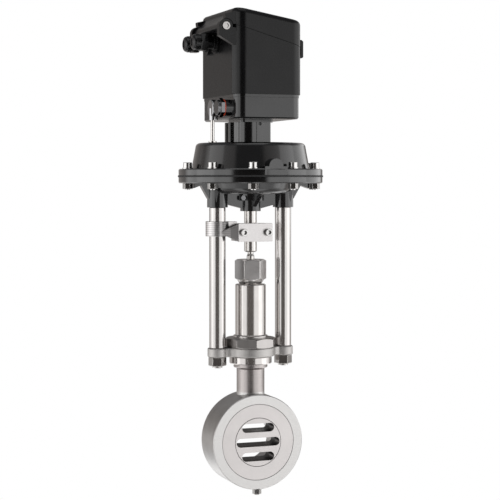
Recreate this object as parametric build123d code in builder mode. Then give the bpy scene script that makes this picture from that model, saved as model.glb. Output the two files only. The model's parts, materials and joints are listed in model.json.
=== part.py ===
# Sliding gate valve: a wafer valve with slotted sliding discs, a diaphragm actuator on two
# columns and a digital positioner on top. Millimetres. The origin is where the stem axis meets
# the pipe axis; +Z runs up the stem, -Y is the slotted face.
import os
from math import cos, radians, sin, sqrt, tan

from build123d import *

os.makedirs("parts", exist_ok=True)

# Wafer body
body_d = 109.0
body_t = 43.0
body_front_y = -25.5
body_chamfer = 0.8
edge_break = 0.8
fine_edge = 0.6
insert_d = 87.5
insert_depth = 9.0
insert_lip = 5.0
land_d = 55.0
cavity_d = 79.0
seat_y = -1.3
outlet_d = 53.5
neck_bore_land = 2.6

# Sliding discs
fixed_t = 12.0
fixed_flange_d = 74.0
moving_d = 62.0
lug_w = 18.0
lug_clear = 0.8
face_gap = 0.05
disc_back_gap = 0.3
slot_pitch = 16.56
slot_front_h = 10.0
slot_h = 7.6
slot_mid_l = 52.6
slot_side_l = 39.2
stroke = slot_pitch / 2
spring_groove_d = 61.0
spring_groove_w = 3.0
spring_t = 1.4
spring_play = 0.3
lock_head_af = 9.0
lock_head_h = 6.2

# Neck, yoke plate and bonnet
neck_d = 32.5
neck_bore_d = 20.0
neck_chamfer = 1.5
neck_top_z = 83.7
spigot_d = 27.0
spigot_l = 32.3
washer_d = 39.5
washer_t = 4.8
lock_nut_d = 49.4
lock_notch_w = 6.0
lock_notch_depth = 2.0
lock_notch_count = 4
lock_notch_turn = 69.6
lock_nut_t = 8.5
plate_t = 10.4
plate_hub_d = 56.0
plate_arm_w = 17.0
plate_end_d = 23.0
plate_fillet = 9.0
plate_round = 1.5
bonnet_af = 56.4
bonnet_flats = 8
bonnet_turn = 38.6
bonnet_hex_t = 10.9
bonnet_collar_d = 40.0
bonnet_collar_h = 2.5
bonnet_collar_slope = 1.0
gasket_t = 1.0
bonnet_d = 35.6
bonnet_top_z = 180.3
bonnet_bore_d = 12.0
packing_bore_d = 22.0
packing_bottom_z = 132.0
nut_turn = 39.6

# Gland
gland_af = 32.0
gland_cone_h = 5.2
gland_foot_d = 25.2
gland_top_z = 209.2
gland_turn = 46.6
gland_spigot_l = 12.0
gland_cone_step = 0.4
hex_land = 0.3
wiper_d = 14.0
wiper_t = 4.0
wiper_sink = 0.4
bush_l = 6.0
packing_spring_l = 11.0
packing_count = 4
packing_t = 4.0
chevron_rise = 1.2
ring_gap = 0.05
disc_spring_count = 4
disc_spring_t = 1.0
disc_spring_in_clear = 0.6
disc_spring_out_clear = 0.4
running_fit = 0.05
seat_fit = 0.1

# Stems
stem_d = 9.0
stem_tail_d = 6.0
stem_thread_d = 6.8
stem_shoulder_z = 45.1
stem_cone_z = 212.9
stem_cone_h = 2.6
coupling_clear = 0.32
thread_engage = 14.0
actuator_stem_d = 14.7
driver_w = 12.0
driver_h = 6.0
driver_clear = 1.0
hook_w = 11.0
hook_t = 3.0
hook_neck_w = 6.0
hook_reach = 3.5
hook_clear = 0.15
hook_lap = 1.5
hook_back_y = -7.0
hook_front_y = -11.0
coupling_chamfer = 1.2

# Columns
column_pitch = 81.5
column_d = 19.0
column_thread_d = 12.0
column_nut_af = 18.0
column_nut_t = 10.4
column_tail = 2.2
nut_chamfer = 0.7

# Diaphragm case
case_d = 167.6
flange_bottom_z = 297.7
seam_z = 305.8
flange_top_z = 314.3
flange_edge = 1.2
diaphragm_t = 2.0
diaphragm_proud = 0.8
dome_bolt_gap = 8.2
dome_draft = 5.6
dome_top_z = 344.3
dome_wall = 4.5
dome_fillet = 5.0
bowl_d = 96.0
bowl_floor_z = 285.6
bowl_wall = 4.0
bowl_fillet = 9.0
bowl_slope = 3.0
rib_r = 38.0
vent_z = 280.8
vent_af = 5.5
vent_d = 4.0
vent_l = 3.0
vent_turn = -135.0
centre_boss_d = 24.0
centre_boss_z = 265.3
centre_collar_d = 32.5
centre_collar_z = 277.6
column_boss_d = 24.0
column_boss_z = 269.8
column_hole_l = 13.5
column_hole_clear = 0.5
web_t = 8.0
web_outer_z = 275.8
web_inner_z = 268.6
rib_t = 5.0
rib_sink = 1.0
rib_drop = 2.0
gusset_foot_z = 280.0
gusset_inset = 22.1
gusset_lip_z = 295.3
lug_rib_inset = 13.3
lug_rib_z = 292.0
bolt_count = 10
bolt_edge = 6.8
bolt_first = -72.0
screw_d = 6.0
screw_clear = 0.3
screw_head_d = 10.0
screw_head_h = 6.0
screw_socket_af = 5.0
flange_washer_d = 12.0
flange_washer_t = 1.3
nut_af = 10.0
nut_t = 6.5
screw_tail = 1.0
port_r = 8.4
port_z = 317.0
port_inset = 0.8
port_pad_w = 27.0

# Diaphragm, plate and return spring
plate_clear = 7.0
plate_z = 309.5
diaphragm_plate_t = 4.0
diaphragm_nut_af = 17.0
diaphragm_nut_t = 8.0
diaphragm_spigot_d = 10.0
spring_mean_d = 64.0
spring_wire_d = 3.4
spring_turns = 2.5
bush_wall = 1.6
seal_t = 4.0
sensor_rod_d = 6.0
sensor_rod_top_z = 390.0
rod_thread_d = 4.0
rod_chamfer = 1.0
plate_edge = 1.2
spigot_tail = 1.0

# Stem bracket
bracket_w = 42.0
bracket_h = 21.2
bracket_z = 240.9
bracket_front_y = -17.5
bracket_t = 4.0
bracket_corner = 1.2
bracket_step = 1.0
jaw_chamfer = 1.5
bracket_screw_x = 15.0
bracket_screw_d = 5.0
bracket_head_d = 8.6
bracket_head_h = 5.0
bracket_head_edge = 0.5
jaw_back_y = 12.0
jaw_split = 1.0
guide_ring_d = 27.5
guide_ring_h = 17.1
guide_ring_z = 245.05
guide_clear = 0.3
arm_tip_t = 3.0
arm_tip_h = 2.5
strap_lap = 2.0
strap_y = -7.0
strap_t = 4.0
bracket_socket_af = 4.6
bracket_socket_depth = 3.6

# Positioner foot
foot_round = 18.6
foot_bore_d = 16.0
foot_leg_x = 29.0
foot_leg_w = 16.0
foot_block_y = 30.3
foot_block_w = 39.5
foot_right_x = 14.0
foot_strip_w = 7.5
foot_strip_t = 0.8
foot_groove_w = 6.0
foot_groove_t = 3.0
foot_corner = 1.8
set_screw_l = 9.0
set_screw_d = 3.8
set_screw_z = 366.0
set_screw_socket_af = 1.6
set_screw_sink = 0.6
support_t = 2.8
support_w = 40.0
support_l = 48.0
support_corner = 5.0
rod_hole_d = 8.0

# Positioner case
case_w = 82.4
case_l = 125.8
case_corner = 13.6
base_z = 370.8
base_h = 27.4
base_rim_h = 3.4
base_step = 0.5
base_inset = 1.4
base_floor = 5.0
base_chamfer = 1.5
wall = 3.5
seam_right_z = 452.0
seam_slope = 16.2
lid_right_z = 482.0
lid_left_z = 496.6
lid_top_fillet = 5.5
seam_gap = 0.35
hinge_reach = 9.2
hinge_z = 474.0
hinge_r = 5.2
hinge_pin_d = 5.0
ear_r = 8.0
ear_t = 8.0
ear_front_inset = 5.5
ear_back_inset = 14.0
ear_root = 3.6
cheek_gap = 0.6
cheek_turn = 94.0
cheek_r = 13.5
ear_foot_z = 453.3
ear_knee_z = 463.0
ear_root_drop = 2.0
case_lap = 1.0
hinge_gap = 0.3
hood_tangent = 130.0
hood_top_z = 490.5
hinge_pin_l = 16.0
hinge_pin_end = 1.0
hinge_socket_af = 4.8
hinge_socket_depth = 1.2
gasket_w = 1.5
lid_gasket_t = 1.2
hinge_head_d = 8.8
hinge_head_h = 1.6
clip_w = 78.0
clip_low_z = 442.0
clip_high_z = 463.0
clip_reach = 9.2
clip_t = 3.0
clip_nose = 1.2
clip_bevel = 2.0
clip_toe = 1.0
clip_fillet = 1.5
board_z = 404.0
board_w = 60.0
board_l = 100.0
board_t = 1.6
board_corner = 3.0
post_d = 6.0
terminal_w = 14.0
terminal_l = 64.0
terminal_h = 10.0
terminal_ways = 8
terminal_gap = 3.0
terminal_screw_d = 5.3
pilot_w = 44.0
pilot_l = 26.0
pilot_h = 19.0
pilot_y = 27.0
pilot_coil_d = 15.0
pilot_coil_gap = 2.0
sensor_w = 14.0
sensor_l = 20.0
sensor_h = 16.0
sensor_clear = 0.6
sensor_chamfer = 1.0

# Cable glands
cable_z = 460.0
cable_back_inset = 34.0
cable_pitch = 30.0
cable_af = 19.0
cable_reach = 31.0
cable_hex_l = 8.0
cable_boss_d = 25.0
cable_boss_l = 4.0
cable_cap_d = 18.0
cable_cap_l = 9.0
cable_cap_round = 3.5
cable_collar_w = 1.0
cable_collar_t = 2.0
cable_plug_sink = 1.0
cable_thread_d = 15.0
cable_bore_d = 9.0

# Air fittings and pipe
fitting_z = 383.0
elbow_y = -21.0
fitting_pitch = 21.0
fitting_d = 20.0
elbow_overhang = 3.0
pipe_x = -54.0
pipe_d = 4.5
pipe_wall = 0.8
pipe_socket_l = 5.0
ferrule_t = 1.5
pipe_socket_d = 10.0
pipe_socket_z = 369.5
fitting_neck_d = 15.0
fitting_head_l = 9.0
fitting_round = 1.5
pipe_socket_shift = 1.0
plug_face_l = 3.5
plug_face_d = 17.6
plug_hex_af = 19.0
plug_hex_l = 4.0
plug_turn = 30.0
ring_w = 1.4
ring_d = 19.4
plug_socket_d = 18.4
port_thread_d = 10.0
port_thread_l = 3.0


def hexagon(across_flats, turn=0.0):
    """A hexagon in the open sketch, sized across its flats."""
    RegularPolygon(across_flats / 2, 6, major_radius=False, rotation=turn)


def trim_corners(across_flats, low_z, high_z):
    """Round the corners of a hexagon on the stem axis at both of its ends."""
    flat_r = across_flats / 2 - hex_land
    corner_r = across_flats / 2 / cos(radians(30))
    bevel = (corner_r - flat_r) * tan(radians(30))
    with BuildSketch(Plane.XZ) as envelope:
        with BuildLine():
            Polyline(
                (0, low_z), (flat_r, low_z), (corner_r, low_z + bevel),
                (corner_r, high_z - bevel), (flat_r, high_z), (0, high_z), close=True)
        make_face()
    revolve(envelope.sketch, axis=Axis.Z, mode=Mode.INTERSECT)


def save(part, label):
    """Name a finished piece and write its STEP file."""
    part.label = label
    export_step(part, f"parts/{label}.step")


diaphragm_plate_top_z = plate_z + diaphragm_plate_t
nut_low_z = diaphragm_plate_top_z + diaphragm_t
spigot_end_z = nut_low_z + diaphragm_nut_t + spigot_tail
rod_bush_r = sensor_rod_d / 2 + running_fit + bush_wall
case_r = case_d / 2
gusset_r = case_r - gusset_inset
lug_rib_r = case_r - lug_rib_inset
bolt_circle_d = case_d - 2 * bolt_edge
dome_base_d = bolt_circle_d - 2 * dome_bolt_gap
dome_top_d = dome_base_d - 2 * dome_draft
bowl_r = bowl_d / 2
plate_d = bowl_d - 2 * bowl_wall - plate_clear
hinge_x = -case_w / 2 - hinge_reach
ear_front_y = -case_l / 2 + ear_front_inset
ear_back_y = case_l / 2 - ear_back_inset
cable_back_y = case_l / 2 - cable_back_inset
cable_front_y = cable_back_y - cable_pitch
cable_tip_x = -case_w / 2 - cable_reach
clip_x = case_w / 2 + clip_reach
plug_y = elbow_y - fitting_pitch
fitting_end_x = pipe_x - elbow_overhang
body_r = body_d / 2
back_y = body_front_y + body_t
fixed_back_y = body_front_y + fixed_t
moving_front_y = fixed_back_y + face_gap
moving_back_y = seat_y - disc_back_gap
slot_taper = (slot_front_h - slot_h) / 2
slot_rows = [(-slot_pitch, slot_side_l), (0.0, slot_mid_l), (slot_pitch, slot_side_l)]
front_plane = Plane.XZ.offset(-body_front_y)
column_x = column_pitch / 2
column_places = [(-column_x, 0), (column_x, 0)]
neck_r = neck_bore_d / 2
lug_top_z = sqrt((cavity_d / 2) ** 2 - (lug_w / 2) ** 2) - lug_clear
driver_z = stem_shoulder_z - driver_h
hook_top_z = driver_z - hook_reach
coupling_z = gland_top_z + stroke + coupling_clear

# Wafer body with its stem neck
with BuildPart() as valve_body:
    with BuildSketch(front_plane):
        Circle(body_r)
    extrude(amount=-body_t)
    chamfer(valve_body.edges().filter_by(GeomType.CIRCLE), body_chamfer)
    with BuildSketch(Plane.XY):
        Circle(neck_d / 2)
    extrude(amount=neck_top_z)
    chamfer(valve_body.faces().sort_by(Axis.Z)[-1].edges(), neck_chamfer)
    with BuildSketch(Plane.XY.offset(neck_top_z)):
        Circle(spigot_d / 2)
    extrude(amount=spigot_l)
    with BuildSketch(front_plane):
        Circle(insert_d / 2)
    extrude(amount=-insert_depth, mode=Mode.SUBTRACT)
    with BuildSketch(front_plane):
        Circle(cavity_d / 2)
    extrude(amount=body_front_y - seat_y, mode=Mode.SUBTRACT)
    with BuildSketch(Plane.XZ.offset(-back_y)):
        Circle(outlet_d / 2)
    extrude(amount=body_t, mode=Mode.SUBTRACT)
    with BuildSketch(Plane.XZ.offset(-seat_y)):
        Circle(spring_groove_d / 2)
        Circle(spring_groove_d / 2 - spring_groove_w, mode=Mode.SUBTRACT)
    extrude(amount=-spring_t, mode=Mode.SUBTRACT)
    with BuildSketch(Plane.XY.offset(outlet_d / 2 + neck_bore_land)):
        Circle(neck_r)
    extrude(amount=neck_top_z + spigot_l, mode=Mode.SUBTRACT)
    with BuildSketch(Plane(origin=(0, body_front_y + insert_depth / 2, 0), z_dir=(0, 0, -1))):
        Circle(screw_d / 2 + running_fit)
    extrude(amount=body_r + lock_head_h, mode=Mode.SUBTRACT)
save(valve_body.part, "valve_body")

# Threaded ring that holds the fixed disc in the slotted face
with BuildPart() as insert_ring:
    with BuildSketch(front_plane):
        Circle(insert_d / 2)
        Circle(land_d / 2 + seat_fit, mode=Mode.SUBTRACT)
    extrude(amount=-insert_lip)
    with BuildSketch(front_plane.offset(-insert_lip)):
        Circle(insert_d / 2)
        Circle(fixed_flange_d / 2 + seat_fit, mode=Mode.SUBTRACT)
    extrude(amount=insert_lip - insert_depth)
    chamfer(insert_ring.edges().filter_by(GeomType.CIRCLE).group_by(Axis.Y)[0], fine_edge)
save(insert_ring.part, "insert_ring")

# Slotted fixed disc, its slots flared towards the slotted face
with BuildPart() as fixed_disc:
    with BuildSketch(front_plane):
        Circle(land_d / 2)
    extrude(amount=-fixed_t)
    with BuildSketch(front_plane.offset(-insert_lip)):
        Circle(fixed_flange_d / 2)
    extrude(amount=insert_lip - fixed_t)
    for row_z, row_l in slot_rows:
        with BuildSketch(front_plane):
            with Locations((0, row_z)):
                SlotOverall(row_l, slot_front_h)
        with BuildSketch(front_plane.offset(-fixed_t)):
            with Locations((0, row_z)):
                SlotOverall(row_l - 2 * slot_taper, slot_h)
        loft(mode=Mode.SUBTRACT)
save(fixed_disc.part, "fixed_disc")

# Slotted moving disc with the lug that its driver hooks into
with BuildPart() as moving_disc:
    with BuildSketch(Plane.XZ.offset(-moving_front_y)):
        Circle(moving_d / 2)
        with Locations((0, lug_top_z / 2)):
            Rectangle(lug_w, lug_top_z)
    extrude(amount=moving_front_y - moving_back_y)
    for row_z, row_l in slot_rows:
        with BuildSketch(Plane.XZ.offset(-moving_front_y)):
            with Locations((0, row_z)):
                SlotOverall(row_l - 2 * slot_taper, slot_h)
        extrude(amount=moving_front_y - moving_back_y, mode=Mode.SUBTRACT)
    with BuildSketch(Plane.XZ.offset(-moving_back_y)):
        with Locations((0, hook_top_z - hook_t / 2)):
            Rectangle(hook_w + 2 * hook_clear, hook_t + 2 * hook_clear)
        with Locations((0, (hook_top_z + lug_top_z) / 2)):
            Rectangle(hook_neck_w + 2 * hook_clear, lug_top_z - hook_top_z)
    extrude(amount=moving_back_y - hook_front_y + hook_clear, mode=Mode.SUBTRACT)
save(moving_disc.part, "moving_disc")

# Hooked driver on the stem's tail
with BuildPart() as disc_driver:
    with BuildSketch(Plane.XY.offset(driver_z)):
        Circle(neck_r - driver_clear)
        Rectangle(driver_w, neck_bore_d, mode=Mode.INTERSECT)
    extrude(amount=driver_h)
    with BuildSketch(Plane.XZ.offset(-hook_back_y)):
        with Locations((0, (hook_top_z + driver_z - hook_lap) / 2)):
            Rectangle(hook_neck_w, driver_z - hook_top_z + hook_lap)
        with Locations((0, hook_top_z - hook_t / 2)):
            Rectangle(hook_w, hook_t)
    extrude(amount=hook_back_y - hook_front_y)
    with BuildSketch(Plane.XY.offset(driver_z)):
        Circle(stem_tail_d / 2 + seat_fit)
    extrude(amount=driver_h, mode=Mode.SUBTRACT)
save(disc_driver.part, "disc_driver")

# Ring spring behind the moving disc
with BuildPart() as disc_spring:
    with BuildSketch(Plane.XZ.offset(-(seat_y - disc_back_gap / 2))):
        Circle(spring_groove_d / 2 - spring_play)
        Circle(spring_groove_d / 2 - spring_groove_w + spring_play, mode=Mode.SUBTRACT)
    extrude(amount=-(spring_t + disc_back_gap / 2))
save(disc_spring.part, "disc_spring")

# Hexagon plug under the body that locks the threaded ring
lock_y = body_front_y + insert_depth / 2
with BuildPart() as locking_screw:
    with BuildSketch(Plane.XY.offset(-body_r - lock_head_h)):
        with Locations((0, lock_y)):
            hexagon(lock_head_af, nut_turn)
    extrude(amount=lock_head_h)
    chamfer(locking_screw.faces().sort_by(Axis.Z)[0].edges(), edge_break)
    with BuildSketch(Plane.XY.offset(-body_r)):
        with Locations((0, lock_y)):
            Circle(screw_d / 2)
    extrude(amount=body_r - insert_d / 2)
save(locking_screw.part, "locking_screw")

# Stem with its cone and its two threaded ends
with BuildPart() as valve_stem:
    with BuildSketch(Plane.XZ):
        with BuildLine():
            Polyline(
                (0, driver_z), (stem_tail_d / 2, driver_z), (stem_tail_d / 2, stem_shoulder_z),
                (stem_d / 2, stem_shoulder_z), (stem_d / 2, stem_cone_z),
                (stem_thread_d / 2, stem_cone_z + stem_cone_h),
                (stem_thread_d / 2, coupling_z + thread_engage),
                (0, coupling_z + thread_engage), close=True)
        make_face()
    revolve(axis=Axis.Z)
save(valve_stem.part, "valve_stem")

# Collar, lock nut and yoke plate on the neck's spigot
lock_nut_z = neck_top_z + washer_t
plate_bottom_z = lock_nut_z + lock_nut_t
plate_top_z = plate_bottom_z + plate_t
spigot_hole_r = spigot_d / 2 + seat_fit
with BuildPart() as neck_washer:
    with BuildSketch(Plane.XY.offset(neck_top_z)):
        Circle(washer_d / 2)
    extrude(amount=washer_t)
    chamfer(neck_washer.edges().sort_by(Axis.Z)[0], edge_break)
    with BuildSketch(Plane.XY.offset(neck_top_z)):
        Circle(spigot_hole_r)
    extrude(amount=washer_t, mode=Mode.SUBTRACT)
save(neck_washer.part, "neck_washer")

with BuildPart() as lock_nut:
    with BuildSketch(Plane.XY.offset(lock_nut_z)):
        Circle(lock_nut_d / 2)
    extrude(amount=lock_nut_t)
    chamfer(lock_nut.faces().filter_by(Axis.Z).edges(), edge_break)
    with BuildSketch(Plane.XY.offset(lock_nut_z)):
        Circle(spigot_hole_r)
        with PolarLocations(lock_nut_d / 2, lock_notch_count, start_angle=lock_notch_turn):
            Rectangle(2 * lock_notch_depth, lock_notch_w)
    extrude(amount=lock_nut_t, mode=Mode.SUBTRACT)
save(lock_nut.part, "lock_nut")

with BuildPart() as yoke_plate:
    with BuildSketch(Plane.XY.offset(plate_bottom_z)) as plate_outline:
        Circle(plate_hub_d / 2)
        Rectangle(column_pitch, plate_arm_w)
        inner_corners = plate_outline.vertices().filter_by(
            lambda v: abs(v.X) < plate_hub_d / 2 and abs(v.Y) < plate_arm_w)
        fillet(inner_corners, plate_fillet)
        with Locations(*column_places):
            Circle(plate_end_d / 2)
    extrude(amount=plate_t)
    with BuildSketch(Plane.XY.offset(plate_bottom_z)):
        Circle(spigot_hole_r)
        with Locations(*column_places):
            Circle(column_thread_d / 2 + seat_fit)
    extrude(amount=plate_t, mode=Mode.SUBTRACT)
    for plate_face in yoke_plate.faces().filter_by(Axis.Z):
        fillet(plate_face.outer_wire().edges(), plate_round)
save(yoke_plate.part, "yoke_plate")

# Bonnet on the neck's spigot, with its packing chamber
spigot_top_z = neck_top_z + spigot_l
bonnet_shoulder_z = plate_top_z + bonnet_hex_t
with BuildPart() as bonnet:
    with BuildSketch(Plane.XY.offset(plate_top_z)):
        RegularPolygon(bonnet_af / 2, bonnet_flats, major_radius=False, rotation=bonnet_turn)
    extrude(amount=bonnet_hex_t)
    trim_corners(bonnet_af, plate_top_z, bonnet_shoulder_z)
    with BuildSketch(Plane.XZ):
        with BuildLine():
            Polyline(
                (0, bonnet_shoulder_z), (bonnet_collar_d / 2, bonnet_shoulder_z),
                (bonnet_collar_d / 2, bonnet_shoulder_z + bonnet_collar_h),
                (bonnet_d / 2, bonnet_shoulder_z + bonnet_collar_h + bonnet_collar_slope),
                (bonnet_d / 2, bonnet_top_z - edge_break),
                (bonnet_d / 2 - edge_break, bonnet_top_z),
                (0, bonnet_top_z), close=True)
        make_face()
    revolve(axis=Axis.Z)
    with BuildSketch(Plane.XY.offset(plate_top_z)):
        Circle(spigot_hole_r)
    extrude(amount=spigot_top_z + gasket_t - plate_top_z, mode=Mode.SUBTRACT)
    with BuildSketch(Plane.XY.offset(plate_top_z)):
        Circle(bonnet_bore_d / 2)
    extrude(amount=bonnet_top_z - plate_top_z, mode=Mode.SUBTRACT)
    with BuildSketch(Plane.XY.offset(packing_bottom_z)):
        Circle(packing_bore_d / 2)
    extrude(amount=bonnet_top_z - packing_bottom_z, mode=Mode.SUBTRACT)
save(bonnet.part, "bonnet")

with BuildPart() as bonnet_gasket:
    with BuildSketch(Plane.XY.offset(spigot_top_z)):
        Circle(spigot_d / 2)
        Circle(neck_bore_d / 2, mode=Mode.SUBTRACT)
    extrude(amount=gasket_t)
save(bonnet_gasket.part, "bonnet_gasket")

# Packing: lower bush, spring, sleeve, chevron rings, gland nut and wiper
stem_bore_r = stem_d / 2 + running_fit
packing_r = packing_bore_d / 2 - running_fit
bush_top_z = packing_bottom_z + bush_l
spring_top_z = bush_top_z + packing_spring_l
gland_bottom_z = bonnet_top_z - gland_spigot_l
rings_bottom_z = gland_bottom_z - packing_count * packing_t
with BuildPart() as guide_bush:
    with BuildSketch(Plane.XY.offset(packing_bottom_z)):
        Circle(packing_r)
        Circle(stem_bore_r, mode=Mode.SUBTRACT)
    extrude(amount=bush_l)
save(guide_bush.part, "guide_bush")

with BuildPart() as packing_spring:
    for turn in range(disc_spring_count):
        spring_low_z = bush_top_z + turn * packing_spring_l / disc_spring_count
        spring_high_z = spring_low_z + packing_spring_l / disc_spring_count
        inner_r = stem_d / 2 + disc_spring_in_clear
        outer_r = packing_r - disc_spring_out_clear
        low_r, high_r = (inner_r, outer_r) if turn % 2 else (outer_r, inner_r)
        with BuildSketch(Plane.XZ):
            with BuildLine():
                Polyline(
                    (low_r, spring_low_z), (high_r, spring_high_z - disc_spring_t),
                    (high_r, spring_high_z), (low_r, spring_low_z + disc_spring_t), close=True)
            make_face()
        revolve(axis=Axis.Z)
save(packing_spring.part, "packing_spring")

with BuildPart() as packing_sleeve:
    with BuildSketch(Plane.XY.offset(spring_top_z)):
        Circle(packing_r)
        Circle(stem_bore_r, mode=Mode.SUBTRACT)
    extrude(amount=rings_bottom_z - spring_top_z)
save(packing_sleeve.part, "packing_sleeve")

ring_h = packing_t - ring_gap
with BuildPart() as packing_rings:
    for ring in range(packing_count):
        ring_z = rings_bottom_z + ring * packing_t
        middle_r = (stem_bore_r + packing_r) / 2
        rise = chevron_rise if ring else 0
        fall = chevron_rise if ring < packing_count - 1 else 0
        with BuildSketch(Plane.XZ):
            with BuildLine():
                Polyline(
                    (stem_bore_r, ring_z), (middle_r, ring_z + rise), (packing_r, ring_z),
                    (packing_r, ring_z + ring_h), (middle_r, ring_z + ring_h + fall),
                    (stem_bore_r, ring_z + ring_h), close=True)
            make_face()
        revolve(axis=Axis.Z)
save(packing_rings.part, "packing_rings")

with BuildPart() as gland_nut:
    with BuildSketch(Plane.XY.offset(bonnet_top_z + gland_cone_h)):
        hexagon(gland_af, gland_turn)
    extrude(amount=gland_top_z - bonnet_top_z - gland_cone_h)
    trim_corners(gland_af, bonnet_top_z + gland_cone_h, gland_top_z)
    with BuildSketch(Plane.XZ):
        with BuildLine():
            Polyline(
                (0, gland_bottom_z), (packing_r, gland_bottom_z), (packing_r, bonnet_top_z),
                (gland_foot_d / 2, bonnet_top_z),
                (gland_af / 2 - gland_cone_step, bonnet_top_z + gland_cone_h),
                (0, bonnet_top_z + gland_cone_h), close=True)
        make_face()
    revolve(axis=Axis.Z)
    with BuildSketch(Plane.XY.offset(gland_bottom_z)):
        Circle(stem_bore_r)
    extrude(amount=gland_top_z - gland_bottom_z, mode=Mode.SUBTRACT)
    with BuildSketch(Plane.XY.offset(gland_top_z - wiper_t)):
        Circle(wiper_d / 2)
    extrude(amount=wiper_t, mode=Mode.SUBTRACT)
save(gland_nut.part, "gland_nut")

with BuildPart() as stem_wiper:
    with BuildSketch(Plane.XY.offset(gland_top_z - wiper_t)):
        Circle(wiper_d / 2 - running_fit)
        Circle(stem_bore_r, mode=Mode.SUBTRACT)
    extrude(amount=wiper_t - wiper_sink)
save(stem_wiper.part, "stem_wiper")

# Columns and their nuts
column_low_z = plate_bottom_z - column_nut_t - column_tail
for column_name, column_place in (("left_column", -column_x), ("right_column", column_x)):
    with BuildPart() as column:
        with BuildSketch(Plane(origin=(column_place, 0, 0), x_dir=(1, 0, 0), z_dir=(0, -1, 0))):
            with BuildLine():
                Polyline(
                    (0, column_low_z), (column_thread_d / 2 - edge_break, column_low_z),
                    (column_thread_d / 2, column_low_z + edge_break),
                    (column_thread_d / 2, plate_top_z), (column_d / 2 - fine_edge, plate_top_z),
                    (column_d / 2, plate_top_z + fine_edge),
                    (column_d / 2, column_boss_z - fine_edge),
                    (column_d / 2 - fine_edge, column_boss_z),
                    (column_thread_d / 2, column_boss_z),
                    (column_thread_d / 2, column_boss_z + column_hole_l),
                    (0, column_boss_z + column_hole_l), close=True)
            make_face()
        revolve(axis=Axis((column_place, 0, 0), (0, 0, 1)))
    save(column.part, column_name)

with BuildPart() as column_nuts:
    with BuildSketch(Plane.XY.offset(plate_bottom_z - column_nut_t)):
        with Locations(*column_places):
            hexagon(column_nut_af, nut_turn)
    extrude(amount=column_nut_t)
    chamfer(column_nuts.faces().filter_by(Axis.Z).edges(), nut_chamfer)
    with BuildSketch(Plane.XY.offset(plate_bottom_z - column_nut_t)):
        with Locations(*column_places):
            Circle(column_thread_d / 2 + seat_fit)
    extrude(amount=column_nut_t, mode=Mode.SUBTRACT)
save(column_nuts.part, "column_nuts")

# Actuator stem, threaded onto the valve stem
with BuildPart() as actuator_stem:
    with BuildSketch(Plane.XZ):
        with BuildLine():
            Polyline(
                (0, coupling_z), (actuator_stem_d / 2 - coupling_chamfer, coupling_z),
                (actuator_stem_d / 2, coupling_z + coupling_chamfer), (actuator_stem_d / 2, plate_z),
                (diaphragm_spigot_d / 2, plate_z), (diaphragm_spigot_d / 2, spigot_end_z),
                (0, spigot_end_z), close=True)
        make_face()
    revolve(axis=Axis.Z)
    with BuildSketch(Plane.XY.offset(coupling_z)):
        Circle(stem_thread_d / 2)
    extrude(amount=thread_engage, mode=Mode.SUBTRACT)
    with BuildSketch(Plane.XY.offset(spigot_end_z - thread_engage)):
        Circle(rod_thread_d / 2)
    extrude(amount=thread_engage, mode=Mode.SUBTRACT)
save(actuator_stem.part, "actuator_stem")

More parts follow.
